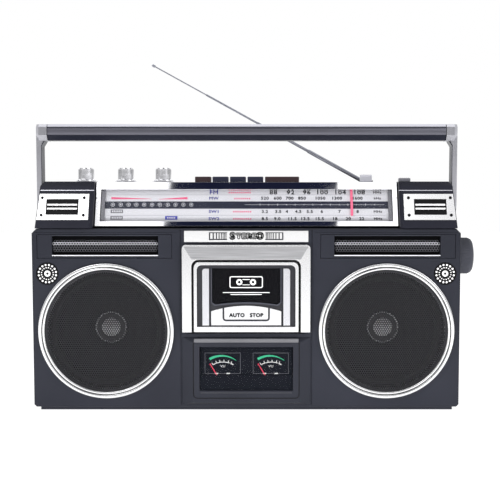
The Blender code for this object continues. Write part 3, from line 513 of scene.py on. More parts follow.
def light_surroundings(tree):
    """White behind the object; the rest of the room is bright overhead and dim towards the front."""
    background = tree.nodes["Background"]
    set_inputs(background, Strength=1.0)
    place = new_node(tree, "TexCoord")
    lean = new_node(tree, "VectorMath")
    lean.operation = "DOT_PRODUCT"
    lean.inputs[1].default_value = (0.0, 0.30, 0.40)
    shift = new_node(tree, "Math")
    shift.operation = "ADD"
    shift.inputs[1].default_value = 0.5
    ramp = new_node(tree, "ValToRGB")
    stops = ((0.0, 0.26), (0.22, 0.30), (0.42, 0.62), (0.56, 0.86), (1.0, 0.90))
    while len(ramp.color_ramp.elements) < len(stops):
        ramp.color_ramp.elements.new(0.5)
    for element, (position, level) in zip(ramp.color_ramp.elements, stops):
        element.position = position
        element.color = (level, level, level * 1.01, 1.0)
    path = new_node(tree, "LightPath")
    mix = new_node(tree, "Mix")
    mix.data_type = "RGBA"
    mix.inputs[7].default_value = (1.0, 1.0, 1.0, 1.0)
    for source, target in ((place.outputs["Generated"], lean.inputs[0]),
        (lean.outputs["Value"], shift.inputs[0]), (shift.outputs["Value"], ramp.inputs["Fac"]),
        (path.outputs["Is Camera Ray"], mix.inputs[0]), (ramp.outputs["Color"], mix.inputs[6]),
        (mix.outputs[2], background.inputs["Color"])):
        tree.links.new(source, target)


def make_studio():
    world = bpy.data.worlds.new("studio")
    bpy.context.scene.world = world
    world.use_nodes = True
    light_surroundings(world.node_tree)
    bpy.context.scene.view_settings.view_transform = "Standard"

    shape = bmesh.new()
    bmesh.ops.create_grid(shape, x_segments=1, y_segments=1, size=6.0)
    floor = placed("floor", as_mesh("floor", shape))
    glow = {"Specular_IOR_Level": 0.1, "Emission_Color": (1.0, 1.0, 1.0, 1.0), "Emission_Strength": 0.88}
    made, tree, shader = new_material("floor", (0.30, 0.30, 0.30), 0.9, **glow)
    tint(tree, object_noise(tree, 3.0), (0.29, 0.29, 0.29), (0.31, 0.31, 0.31), shader.inputs["Base Color"])
    floor.data.materials.append(made)

    light("key", (-0.9, -1.1, 1.5), (0, 0, 0.12), (1.0, 0.8), 6.0)
    light("fill", (1.2, -1.0, 1.0), (0, 0, 0.12), (1.0, 1.0), 3.4)
    light("top", (0.0, 0.25, 1.7), (0, 0, 0.1), (1.4, 0.9), 3.6)
    bounce = light("table_bounce", (0.0, -0.42, 0.02), (0, 0, 0.03), (0.9, 0.12), 4.0)
    bounce.visible_glossy = False

    # The dial's lean sends the view up and forward: a dark gap hangs there between two bright cards.
    reach = 1.0
    away = Vector((0.0, -math.cos(2 * LEAN), math.sin(2 * LEAN)))
    dial_place = local_centre("dial_scale") * MM
    hub = Vector((CENTRE_X, FACE_Y + dial_place.y, dial_place.z)) + away * reach
    left, right, outer = (edge * (1 + reach / CAMERA_DISTANCE) for edge in (-0.0905, 0.0835, 0.160))
    card("dark_gap", hub - away * 0.01 + Vector(((left + right) / 2, 0, 0)), (right - left) / 2, 0.30,
        -away, (0.25, 0.32, 0.85), 0.035, 0.045)
    for name, near, far in (("left_card", -outer, left + 0.03), ("right_card", right, outer)):
        card(name, hub + Vector(((near + far) / 2, 0, 0)), (far - near) / 2, 0.14, -away, (1, 1, 1), 1.5)


# --- printed lettering ---

def letter_copies(weight):
    """Where the copies of a letter go to make its strokes wider by a weight on every side."""
    if not weight:
        return [(0.0, 0.0)]
    rings = [(weight, 4)] if weight < 0.4 else [(weight, 8), (weight / 2, 4)]
    return [spot for radius, count in rings for spot in circle((0, 0), radius, count, 0)]


def lettering(words, thickness=0.06):
    """Plain figures and words as one thin mesh; each is (text, x, up, height, stretch, weight)."""
    whole = bmesh.new()
    for text, x, up, height, stretch, weight in words:
        curve = bpy.data.curves.new("word", "FONT")
        curve.body = text
        em = height * 1.4
        curve.align_x = "CENTER"
        curve.align_y = "CENTER"
        curve.space_character = 1.1
        curve.extrude = thickness / 2 / em
        curve.resolution_u = 3
        holder = placed("word", curve)
        mesh = bpy.data.meshes.new_from_object(holder.evaluated_get(bpy.context.evaluated_depsgraph_get()))
        upright = Matrix.Rotation(math.pi / 2, 4, "X")
        mesh.transform(Matrix.Diagonal((em * stretch, em, em, 1.0)) @ upright)
        for aside, above in letter_copies(weight):
            shifted = mesh.copy()
            shifted.transform(at(x + aside, 0, up + above))
            whole.from_mesh(shifted)
            bpy.data.meshes.remove(shifted)
        bpy.data.objects.remove(holder)
        bpy.data.curves.remove(curve)
        bpy.data.meshes.remove(mesh)
    return whole


# --- cabinet ---

MODULE_SEAM = 67.3
SPEAKER_HOLE = 60.8
ROSETTE = (204, 142)
SLOT_X = (76.3, 214.2)
SLOT_Z = (157.5, 182.3)
SLOT_FIELD_X = (90.3, 199)
SLOT_FIELD_Z = (159, 181.2)
BAY = (62, 80, 170)
METER_HOLE = (50, 20, 69)


def front_shell():
    bottom, chamfer, small = 3.5, 4.8, 2.5
    right = [(HALF_WIDTH - small, bottom), (HALF_WIDTH, bottom + small),
        (HALF_WIDTH, CABINET_TOP - chamfer), (HALF_WIDTH - chamfer, CABINET_TOP)]
    left = [(-x, z) for x, z in reversed(right)]
    shell = prism(left[-1:] + right + left[:-1], "Y", 0, SPLIT_DEPTH)
    front_edges = [e for e in shell.edges if all(abs(v.co.y) < 1e-6 for v in e.verts)]
    bmesh.ops.bevel(shell, geom=front_edges, offset=2.2, segments=4, affect="EDGES", profile=0.5)
    plinth = box((-213.7, 5, 0), (213.7, SPLIT_DEPTH, 6))
    cavity = box((-HALF_WIDTH + WALL, WALL, 6), (HALF_WIDTH - WALL, SPLIT_DEPTH + 10, CABINET_TOP - WALL))
    front, back = -10, WALL + 2
    cutters = [box((-half, front, low), (half, back, high)) for half, low, high in (BAY, METER_HOLE)]
    tuning = local_centre("tuning_knob")
    cutters.append(rod("X", (tuning.y, tuning.z), 3.6, HALF_WIDTH - 10, HALF_WIDTH + 10))
    for name, side in SIDES:
        speaker = local_centre(f"speaker_ring_{name}")
        seam = side * MODULE_SEAM
        cutters += [rod("Y", (speaker.x, speaker.z), SPEAKER_HOLE, front, back, 96),
            sided_box(side, (SLOT_X[0] - 0.3, front, SLOT_Z[0]), (SLOT_X[1] + 0.3, back, SLOT_Z[1])),
            rod("Y", (side * ROSETTE[0], ROSETTE[1]), 11.7, front, 1, 64),
            box((seam - 0.5, front, 6), (seam + 0.5, 1, CABINET_TOP + 10)),
            sided_box(side, (70, front, 183.8), (216.5, 0.6, 184.6))]
    shell = cut(cut(joined(shell, plinth), cavity), *cutters)
    add("front_shell", shell, CABINET, "cabinet_plastic", "cabinet", "front_cabinet", edge=0.35)


def rosettes():
    """Two small round ornaments: a black dish, two rings of pale studs and a ring in the middle."""
    for name, side in SIDES:
        centre = (side * ROSETTE[0], ROSETTE[1])
        dish = [(0, 0.8), (11.4, 0.8), (11.4, 0), (11, -0.1), (10.3, 0.6), (0, 0.7)]
        add(f"rosette_dish_{name}", turned(dish, "Y", centre, 64), BLACK, "trim_plastic")
        studs = []
        for radius, size in ((9, 1.05), (6.1, 0.66)):
            stud = [(0, 0.7), (size, 0.7), (size * 0.95, 0.1), (0, -0.1)]
            studs += [turned(stud, "Y", spot, 14) for spot in circle(centre, radius, 16)]
        studs.append(turned([(1.2, 0.7), (3.2, 0.7), (3.1, 0), (1.3, 0)], "Y", centre, 40))
        add(f"rosette_studs_{name}", studs, PRINT_WHITE, "silver_trim")


def screw_head(place, radius):
    """A cross-head screw, drawn at the origin facing forward."""
    profile = [(0, 1), (radius, 1), (radius, 0.1), (radius * 0.8, -0.4), (0, -0.6)]
    arm, width = radius * 0.62, radius * 0.16
    slots = [box((-a, -2, -b), (a, -0.1, b)) for a, b in ((arm, width), (width, arm))]
    return moved(cut(turned(profile, "Y", (0, 0), 24), *slots), place)


def tweeter_plates():
    """Silver plates on the leaning faces: a louvred window, two pale bars and four screws, with a bright
    strip along each block's shoulder as a painted highlight.
    """
    face = leaning(0, 0, local_box("tweeter_housing_left")[0].z)
    outline = [(162, 8.8), (214.9, 8.8), (213.2, 37.6), (162, 37.6)]
    inner, outer = 172.6, 205.8
    screw = [(0, -0.4), (1.6, -0.4), (1.6, -1.7), (1.3, -2), (0, -2)]
    for name, side in SIDES:

        def place(part, shapes, finish, slot="grille_black", **more):
            add(f"{part}_{name}", moved(merged(*shapes), face), finish, slot, **more)

        plate = prism([(side * x, z) for x, z in outline], "Y", -1.3, -0.2)
        hole = sided_box(side, (inner, -10, 14.5), (outer, 10, 31.8))
        place("plate", [cut(plate, hole)], SILVER_PLATE, "silver_trim", node=f"tweeter_plate_{name}",
            edge=0.3)
        place("louvre_well", [sided_box(side, (inner - 0.4, -0.8, 14.1), (outer + 0.4, -0.1, 32.2))], BLACK)
        blades = []
        for i in range(6):
            up = 16.2 + i * 2.8
            blades.append(sided_box(side, (inner + 0.2, -1.1, up - 0.4), (outer - 0.2, -0.6, up + 0.4), 0.1,
                1))
        place("louvre_blades", blades, BLACK)
        bars = [sided_box(side, (inner + 1.2, -1.8, up - 0.95), (outer - 1.2, -0.9, up + 0.95), 0.3, 2)
            for up in (21.2, 25.5)]
        place("louvre_bars", bars, PRINT_WHITE, "silver_trim")
        spots = [(side * x, up) for x in (167, 210.2) for up in (14, 33.2)]
        place("plate_screws", [turned(screw, "Y", spot, 24) for spot in spots], BLACK)
        # A pale strip along the top of the leaning face: a painted highlight where the rounded shoulder
        # catches the light.
        line = sided_box(side, (157.5, -0.5, 41.5), (213, 0.6, 42.4), 0.2, 1)
        place("block_shoulder_highlight", [line], SHOULDER_HIGHLIGHT, "trim_plastic")


def soften_cad_nodes():
    """CAD nodes that stay as they are get welded, rounded edges and a procedural material."""
    kept = ((HOUSING, 0.7, "tweeter_housing_left tweeter_housing_right"),
        (CABINET_REAR, 1.0, "rear_cabinet"), (METER_MOULDING, 0.6, "meter_frame"),
        (SILVER_PLATE, 0.4, "top_panel"), (METER_DARK, 0.3, "vu_meter_unit"),
        (BLACK, 0.2, "cassette_holder reel_spindle_left reel_spindle_right"), (BLACK, 0.3, "mains_inlet"),
        (BOARD, 0.2, "main_board"), (STEEL, 0.4, "transformer woofer_basket_left woofer_basket_right"),
        (STEEL, 0.2, "tape_deck_chassis"), (STEEL, 0.3, "tape_motor"), (BRASS, 0.1, "motor_pulley"),
        (BRASS, 0.2, "capstan_flywheel"), (RUBBER, 0.1, "drive_belt"), (RUBBER, 0.3, "pinch_roller"),
        (CHROME, 0.2, "antenna_turret"))
    for finish, width, nodes in kept:
        for node in nodes.split():
            item = frame["nodes"][node]
            item.data.materials.clear()
            item.data.materials.append(finish)
            item.modifiers.new("weld", "WELD").merge_threshold = 0.00001
            soften(item, width)


# --- loudspeakers ---

def hex_cells(inside, pitch, hole, surface):
    """A sheet of six-sided holes where inside(x, z) is true; surface(x, z) gives the depth."""
    shape = bmesh.new()
    corner_points = {}
    reach = int(120 / pitch)

    def vertex(x, z):
        key = (round(x * 1e3), round(z * 1e3))
        if key not in corner_points:
            corner_points[key] = shape.verts.new((x, surface(x, z), z))
        return corner_points[key]

    for row in range(-reach, reach + 1):
        for column in range(-reach, reach + 1):
            centre = ((column + 0.5 * (row % 2)) * pitch, row * pitch * math.sqrt(3) / 2)
            if not inside(*centre):
                continue
            outer = [vertex(*spot) for spot in circle(centre, pitch / math.sqrt(3), 6)]
            inner = [shape.verts.new((x, surface(x, z), z)) for x, z in circle(centre, hole, 6)]
            for i in range(6):
                j = (i + 1) % 6
                shape.faces.new((outer[i], outer[j], inner[j], inner[i]))
    return solid(shape)


def thicken(item, thickness):
    wall = item.modifiers.new("sheet", "SOLIDIFY")
    wall.thickness = thickness * MM
    wall.offset = 0


def speakers():
    limit, dome = 61.8, 1.2
    ring = [(62.5, -0.3), (69.7, -0.3), (69.7, -3), (69.45, -3.7), (69, -4), (66.7, -4), (66.4, -3.8),
        (66.3, -2.4), (65.4, -2.4), (65.3, -3.8), (65, -4), (63.6, -4), (63.2, -3.6), (62.8, -1.8)]
    groove = [(65.2, -2), (66.5, -2), (66.5, -3), (65.2, -3)]
    rim = [(60.4, -0.5), (62.8, -0.4), (62.8, -1.4), (61.8, -1.7), (60.4, -1.2)]
    paper = [(16.5, 37.2), (26, 30), (38, 20.5), (52, 9.2), (53, 10), (39, 21.4), (27, 30.8), (16.5, 38.2)]
    front_roll = [polar((54.8, 7.8), -3, math.pi * i / 8) for i in range(9)]
    back_roll = [polar((54.8, 8.2), -2.4, math.pi * i / 8) for i in range(8, -1, -1)]
    roll = [(51.5, 9.6), *front_roll, (58.6, 7.8), (58.6, 8.4), (57.5, 8.4), *back_roll]
    cap = [(0, 33.5), (9.5, 33.5), (10.5, 32.2), (15, 32.2), (16.3, 33.4), (16.3, 38.4), (0, 38.4)]
    # Bright metal rings on the dark dust cap: painted highlights in place of the glossy dome's reflections.
    cap_highlights = ([(0, 31.8), (7, 32.2), (10.3, 33), (10.3, 33.7), (0, 33.7)],
        [(15, 32.4), (16.3, 32), (16.8, 32.8), (15.8, 33.4)])
    for name, _ in SIDES:
        spot = local_centre(f"speaker_ring_{name}")
        centre = (spot.x, spot.z)
        cone = f"cone_{name}"

        def place(part, profiles, segments, *more, **options):
            add(f"{part}_{name}", [turned(profile, "Y", centre, segments) for profile in profiles], *more,
                **options)

        place("trim_ring", [ring], 144, RING_CHROME, "chrome_trim", "cabinet", f"speaker_ring_{name}",
            sharp=50)
        place("ring_groove", [groove], 144, BLACK, "grille_black")
        sheet = hex_cells(lambda x, z: math.hypot(x, z) < limit - 0.8, 2.3, 0.86, lambda x,
            z: -0.8 - dome * (1 - (x * x + z * z) / (limit * limit)))
        moved(sheet, at(centre[0], 0, centre[1]))
        mesh = add(f"mesh_grille_{name}", sheet, GRILLE, "grille_black", "cabinet",
            f"speaker_grille_{name}")
        thicken(mesh, 0.5)
        place("grille_rim", [rim], 120, GRILLE, "grille_black")
        place("cone_paper", [paper], 96, CONE, "cone_paper", cone, f"woofer_cone_{name}", sharp=60)
        place("cone_surround", [roll], 96, SURROUND, "cone_paper", cone, sharp=60)
        place("dust_cap", [cap], 72, DUST_CAP, "cone_paper", cone, sharp=60)
        place("cap_highlight_rings", cap_highlights, 72, CAP_HIGHLIGHT, "chrome_trim", cone, sharp=60)


def slot_grilles():
    """The long louvre above each woofer: a recess with a near-black back as painted shade, a narrow bulged
    mesh with a painted highlight on its upper rows and painted shade on its lower rows, and a bright strip.
    """
    bottom, top = SLOT_FIELD_Z
    near, far = SLOT_FIELD_X
    half_x, half_z, split = (far - near) / 2, 5.2, 2.2
    for name, side in SIDES:

        def place(part, shape, *more, **options):
            return add(f"louvre_{part}_{name}", shape, *more, **options)

        panel = sided_box(side, (SLOT_X[0], 0.4, SLOT_Z[0] + 0.3), (SLOT_X[1], 6, SLOT_Z[1] - 0.3))
        field = sided_box(side, (near, -10, bottom), (far, 5.2, top))
        place("frame", cut(panel, field), CABINET, "grille_black", "cabinet", f"slot_grille_{name}",
            edge=0.3)
        floor = sided_box(side, (near + 0.3, 4.7, bottom + 0.3), (far - 0.3, 5.1, top - 0.3))
        # A near-black back wall: painted shade inside the louvre recess.
        place("back", floor, SHADE_BLACK, "grille_black", edge=0.05)
        # One mesh sheet in two finishes: the upper rows painted bright as a highlight, the lower rows
        # painted dark as shade.
        for part, finish, low, high in (("crest", SLOT_MESH_HIGHLIT, split, half_z),
            ("field", SLOT_SHADE, -half_z, split)):
            sheet = hex_cells(lambda x, z: abs(x) < half_x - 1.4 and low <= z < high, 2.7, 1.05, lambda x,
                z: 1.4 + 2.8 * max(0.0, z / half_z) ** 2)
            moved(sheet, at(side * (near + far) / 2, 0, 170.3))
            thicken(place(part, sheet, finish, "grille_black"), 0.4)
        strip = sided_box(side, (near, -0.2, 160), (far, 1.2, 161.1), 0.3, 2)
        place("strip", strip, PRINT_PALE, "silver_trim")
        place("top", sided_box(side, (near, 0.2, top - 0.6), (far, 1.4, top), 0.2, 1), GREY_TRIM,
            "trim_plastic")


# --- cassette door and badge ---

DOOR_LOW, DOOR_HIGH = local_box("cassette_door")
DOOR_SHAPE = (False, False, True, True)
DOOR_SIGHT = (50.3, 88, 151)


def badge():
    """The bright plate over the deck, with plain upright bars and a plain word."""
    plate = box((-63.5, -0.8, 174.4), (63.5, -0.1, 185.9), 0.2, 2)
    add("badge_plate", plate, BADGE_WHITE, "silver_trim")
    front, back = -1.05, -0.7
    bars = []
    for _, side in SIDES:
        x, thick = 38, 1.2
        for step in (3.8, 3.3, 2.8, 2.3, 1.9, 1.6, 1.4, 1.3):
            bars.append(sided_box(side, (x - thick, front, 177.4), (x, back, 183.8)))
            x -= step
            thick = max(0.7, thick - 0.1)
        bars.append(sided_box(side, (x, front, 176.5), (38, back, 177.6)))
        bars.append(sided_box(side, (x, front, 183.6), (38, back, 184.3)))
    letters = (("S", -14.1, 6.2, 1.1), ("TERE", 0, 4.8, 1.3), ("O", 14.1, 6.2, 0.95))
    for name, finish, weight, depth in (("badge_print", PRINT_BLACK, 1.2, -0.9),
        ("badge_letters", BADGE_WHITE, 0.22, -1)):
        words = [(text, x, 180.4, height, stretch, weight) for text, x, height, stretch in letters]
        add(name, moved(lettering(words), at(0, depth, 0)), finish, "trim_plastic")
    add("badge_bars", bars, PRINT_BLACK, "trim_plastic")


def deck_front():
    """The silver surround: a streaked plate along the top, its darker grey partly painted shade, and plain
    pale strips down the sides.
    """
    low, high = local_box("deck_surround")
    left, right, door_top = DOOR_LOW.x, DOOR_HIGH.x, DOOR_HIGH.z
    gap, inset = 1.2, 1

    def doorway(grow, bottom, radius, front, back):
        outline = rounded((left - grow, bottom), (right + grow, door_top + grow), radius, DOOR_SHAPE, 10)
        return prism(outline, "Y", front, back)

    outer = prism(rounded((low.x, low.z), (high.x, high.z), 4, DOOR_SHAPE, 8), "Y", low.y, -0.1)
    surround = cut(outer, doorway(gap, low.z - 10, 7, -50, 50))
    add("deck_frame", surround, SILVER_PLATE, "silver_trim", "cabinet", "deck_surround", edge=0.4)
    dark = cut(doorway(gap, DOOR_LOW.z, 7, -2, -0.2), doorway(-inset, DOOR_LOW.z - 10, 6, -50, 50))
    add("deck_gap", dark, BLACK, "trim_plastic")
    # The top plate is flat but darker than the sides: brushed streaks, plus painted shade standing in for
    # an inward-sloping bevel.
    fascia_low = door_top + gap + 0.4
    fascia = [(left - gap, fascia_low), (right + gap, fascia_low), (high.x - 1.8, high.z - 1.4),
        (low.x + 1.8, high.z - 1.4)]
    add("deck_fascia", prism(fascia, "Y", low.y - 0.3, low.y + 0.4), BEVEL_SILVER_SHADED, "silver_trim", edge=0.2)


def cassette_door():
    inset = 1
    outline = rounded((DOOR_LOW.x + inset, DOOR_LOW.z), (DOOR_HIGH.x - inset, DOOR_HIGH.z - inset), 6,
        DOOR_SHAPE, 10)
    half, bottom, top = DOOR_SIGHT
    sight = prism(rounded((-half, bottom), (half, top), 5, DOOR_SHAPE, 8), "Y", -20, 20)
    door = cut(prism(outline, "Y", DOOR_LOW.y, DOOR_HIGH.y), sight)
    add("door_frame", door, SILVER_PLATE, "silver_trim", "door", "cassette_door", edge=0.5)

    gap = 0.2
    window_half, base, crest = 35.9, 112.8, 147.5

    def window(grow, low, high, radius, front, back):
        """Square upper corners, round lower ones, and a lower edge that sags at both ends."""
        half_width = window_half + grow
        points = [(half_width, high), (-half_width, high)]
        steps = 20
        for i in range(steps + 1):
            across = -half_width + 2 * half_width * i / steps
            sag = 3 * (across / half_width) ** 2
            corner = max(0, abs(across) - half_width + radius)
            lift = radius - math.sqrt(max(0, radius * radius - corner * corner))
            points.append((across, low - sag + lift))
        return prism(points, "Y", front, back)

    panel = rounded((-half + gap, bottom + gap), (half - gap, top - gap), 4.8, DOOR_SHAPE, 8)
    panel = cut(prism(panel, "Y", -3, -1.4), window(0, base, crest, 3, -20, 20))
    add("door_panel", panel, RECESS, "trim_plastic", "door", "door_window", edge=0.2)
    glass = window(-gap, base + gap, crest - gap, 3, -3.8, -1.8)
    add("window_pane", glass, SMOKE, "smoked_window", "door", edge=0.3)
    # A near-black tray behind the smoked pane: painted shade for the dark inside of the deck.
    add("window_shade_tray", window(0, base, crest, 3, -1.2, -0.6), SHADE_BLACK, "trim_plastic", "door")
    lip = cut(window(0.1, base - 1.3, crest, 4.2, -4.6, -3),
        window(-0.8, base + 0.1, crest + 10, 3, -20, 20))
    add("window_lip", lip, GREY_TRIM, "trim_plastic", "door", edge=0.2)

    ink = [prism(pocket_outline(24.2, 93.5, 108, 3.5, 1.8), "Y", -5.75, -5.2),
        moved(lettering([("AUTO   STOP", 0, 99.6, 3.7, 1.02, 0.39)]), at(0, -5.75, 0))]
    for name, side in SIDES:
        low, high = span(side, 38, 44.9)
        bar = rounded((low, 89), (high, 147.5), 2.8, (False, False, side > 0, side < 0), 6)
        add(f"door_guide_{name}", prism(bar, "Y", -5.2, -3), GUIDE_SILVER, "silver_trim", "door", edge=0.3)
        ink.append(sided_box(side, (36.3, -3.6, 88.5), (37.9, -2.9, 147.8)))
    ink.append(box((-36.3, -4.8, 88.2), (36.3, -2.9, 89.2)))
    arch = [(-window_half, 89.3), (window_half, 89.3)]
    for i in range(17):
        across = 1 - i / 8
        arch.append((window_half * across, 109.6 - 5.8 * across ** 2))
    plate = prism(arch, "Y", -5.6, -3)
    add("door_plate", plate, SILVER_PLATE, "silver_trim", "door", edge=0.25)
    add("door_print", ink, PRINT_BLACK, "trim_plastic", "door")
    cassette_mark()


def pocket_outline(half, low, high, radius, width):
    """A thin U-shaped line: down one side, round the bottom corners, and up the other side."""
    outer, inner = [(-half, high)], [(-half + width, high)]
    for x, start in ((-half + radius, 180), (half - radius, 270)):
        for i in range(7):
            angle = math.radians(start + 90 * i / 6)
            outer.append(polar((x, low + radius), radius, angle))
            inner.append(polar((x, low + radius), radius - width, angle))
    return outer + [(half, high), (half - width, high)] + inner[::-1]


def ring_plate(centre, outer, inner, front, back, segments=40):
    return turned([(inner, back), (outer, back), (outer, front), (inner, front)], "Y", centre, segments)


def cassette_mark():
    """A generic cassette pictogram on the window, and a plain double line under it."""
    front, back = -3.95, -3.75
    half, low, high = 17, 127.5, 139.5
    middle = (low + high) / 2
    border = cut(prism(rounded((-half, low), (half, high), 2), "Y", front, back),
        prism(rounded((-half + 0.9, low + 0.9), (half - 0.9, high - 0.9), 1.3), "Y", -10, 10))
    reels = [ring_plate((side * 7, middle), 3.1, 1.4, front, back) for side in (-1, 1)]
    link = [box((-3.9, front, middle + offset), (3.9, back, middle + offset + 0.6)) for offset in (-3, 2.4)]
    lines = [box((-width, front, up), (width, back, up + 0.7)) for width, up in ((24, 122.5), (16, 120.5))]
    add("window_mark", merged(border, *reels, *link, *lines), PRINT_WHITE, "scale_print", "door")


# --- level meters ---

def arc_band(centre, radius_at, width_at, start, end, steps, front, back):
    """A band along an arc; angles are in degrees to the right of straight up."""
    outer, inner = [], []
    for i in range(steps + 1):
        part = i / steps
        angle = math.radians(90 - start - (end - start) * part)
        for row, sign in ((outer, 0.5), (inner, -0.5)):
            row.append(polar(centre, radius_at + sign * width_at(part), angle))
    return prism(outer + inner[::-1], "Y", front, back)


def meters():
    """Two level meters behind one pane: printed faces, needles, and a dark mask over their pivots."""
    glass = box(*local_box("meter_window"), 0.3, 2)
    add("meter_glass", glass, METER_PANE, "smoked_window", "cabinet", "meter_window")
    face = local_box("vu_meter_unit")[0].y
    front, back = face - 0.25, face - 0.1
    line = 0.5

    def ink(left, right, low, high, lift=0.0):
        return box((left, front - lift, low), (right, back, high))

    outlines, whites, greens = [], [], []
    for name, side in SIDES:
        x, foot = side * 24.8, 27.7
        left, right, bottom, top = x - 18.1, x + 18.9, 38.4, 60.3
        outlines += [ink(left, right, top - line, top), ink(left, left + line, bottom, top),
            ink(right - line, right, bottom, top), ink(left, right, bottom, bottom + line)]
        greens.append(arc_band((x - 0.4, 32.6), 24.5, lambda t: 2.6 - 2.1 * t, -31, 36.6, 28, front, back))
        middle = (x + 0.9, 29.6)
        whites.append(arc_band(middle, 21, lambda t: 0.6, -30, 18, 20, front, back))
        whites.append(arc_band(middle, 21, lambda t: 1, 22, 30, 6, front, back))
        for angle in (-30, -19, -9, 2, 14, 22):
            turn = math.radians(angle)
            across, up = polar(middle, 22.2, math.pi / 2 - turn)
            tick = box((-0.32, front, -1.1), (0.32, back, 1.1))
            whites.append(moved(tick, at(across, 0, up) @ Matrix.Rotation(turn, 4, "Y")))
        whites += [ink(foot_x - 1.7, foot_x + 1.7, bottom - 0.2, bottom + 0.9, 0.1)
            for foot_x in (x - 6, x + 6)]
        word = lettering([("VU", x + 0.5, 46.2, 2.3, 1.2, 0)])
        whites.append(moved(word, at(0, (front + back) / 2, 0)))
        blade = loft([[(half * a, 0.2 * b, reach) for a, b in ((-1, -1), (1, -1), (1, 1), (-1, 1))]
            for half, reach in ((0.62, 0), (0.3, 23.8), (0.85, 24), (0.4, 24.8))])
        hub = turned([(0, 0.6), (1.6, 0.6), (1.6, -0.3), (1, -0.7), (0, -0.8)], "Y", (0, 0), 24)
        needle = f"vu_needle_{name}"
        rest = at(x, local_centre(needle).y, foot) @ Matrix.Rotation(-math.radians(30.7), 4, "Y")
        add(f"meter_needle_{name}", moved(merged(blade, hub), rest), METER_RED, "pointer_red",
            f"needle_{name}", needle)
    add("meter_outlines", outlines, METER_LINE, "scale_print")
    add("meter_green_arcs", greens, METER_GREEN, "scale_print")
    add("meter_scales", whites, PRINT_WHITE, "scale_print")
    mask_back = local_box("vu_needle_left")[0].y - 0.3
    mask = box((-48.5, mask_back - 0.5, 21.2), (48.5, mask_back, 37.4))
    low, high = local_box("meter_frame")
    # A flat strip along the frame's top, painted lighter as the highlight of an up-facing bevel.
    bevel = box((-53.6, low.y - 0.4, 71.6), (53.6, low.y + 0.6, high.z - 0.4), 0.3, 2)
    sill = box((-47, low.y - 0.3, 19), (47, low.y + 0.5, 20), 0.2, 1)
    seam = prism(pocket_outline(54.7, 13.5, 71.6, 4.5, 0.9), "Y", low.y - 0.1, low.y + 0.5)
    for part, shape, finish in (("mask", mask, METER_DARK), ("bevel", bevel, METER_BEVEL_HIGHLIT),
        ("sill", sill, METER_EDGE), ("seam", seam, BLACK)):
        add(f"meter_{part}", shape, finish, "trim_plastic")


# --- dial ---

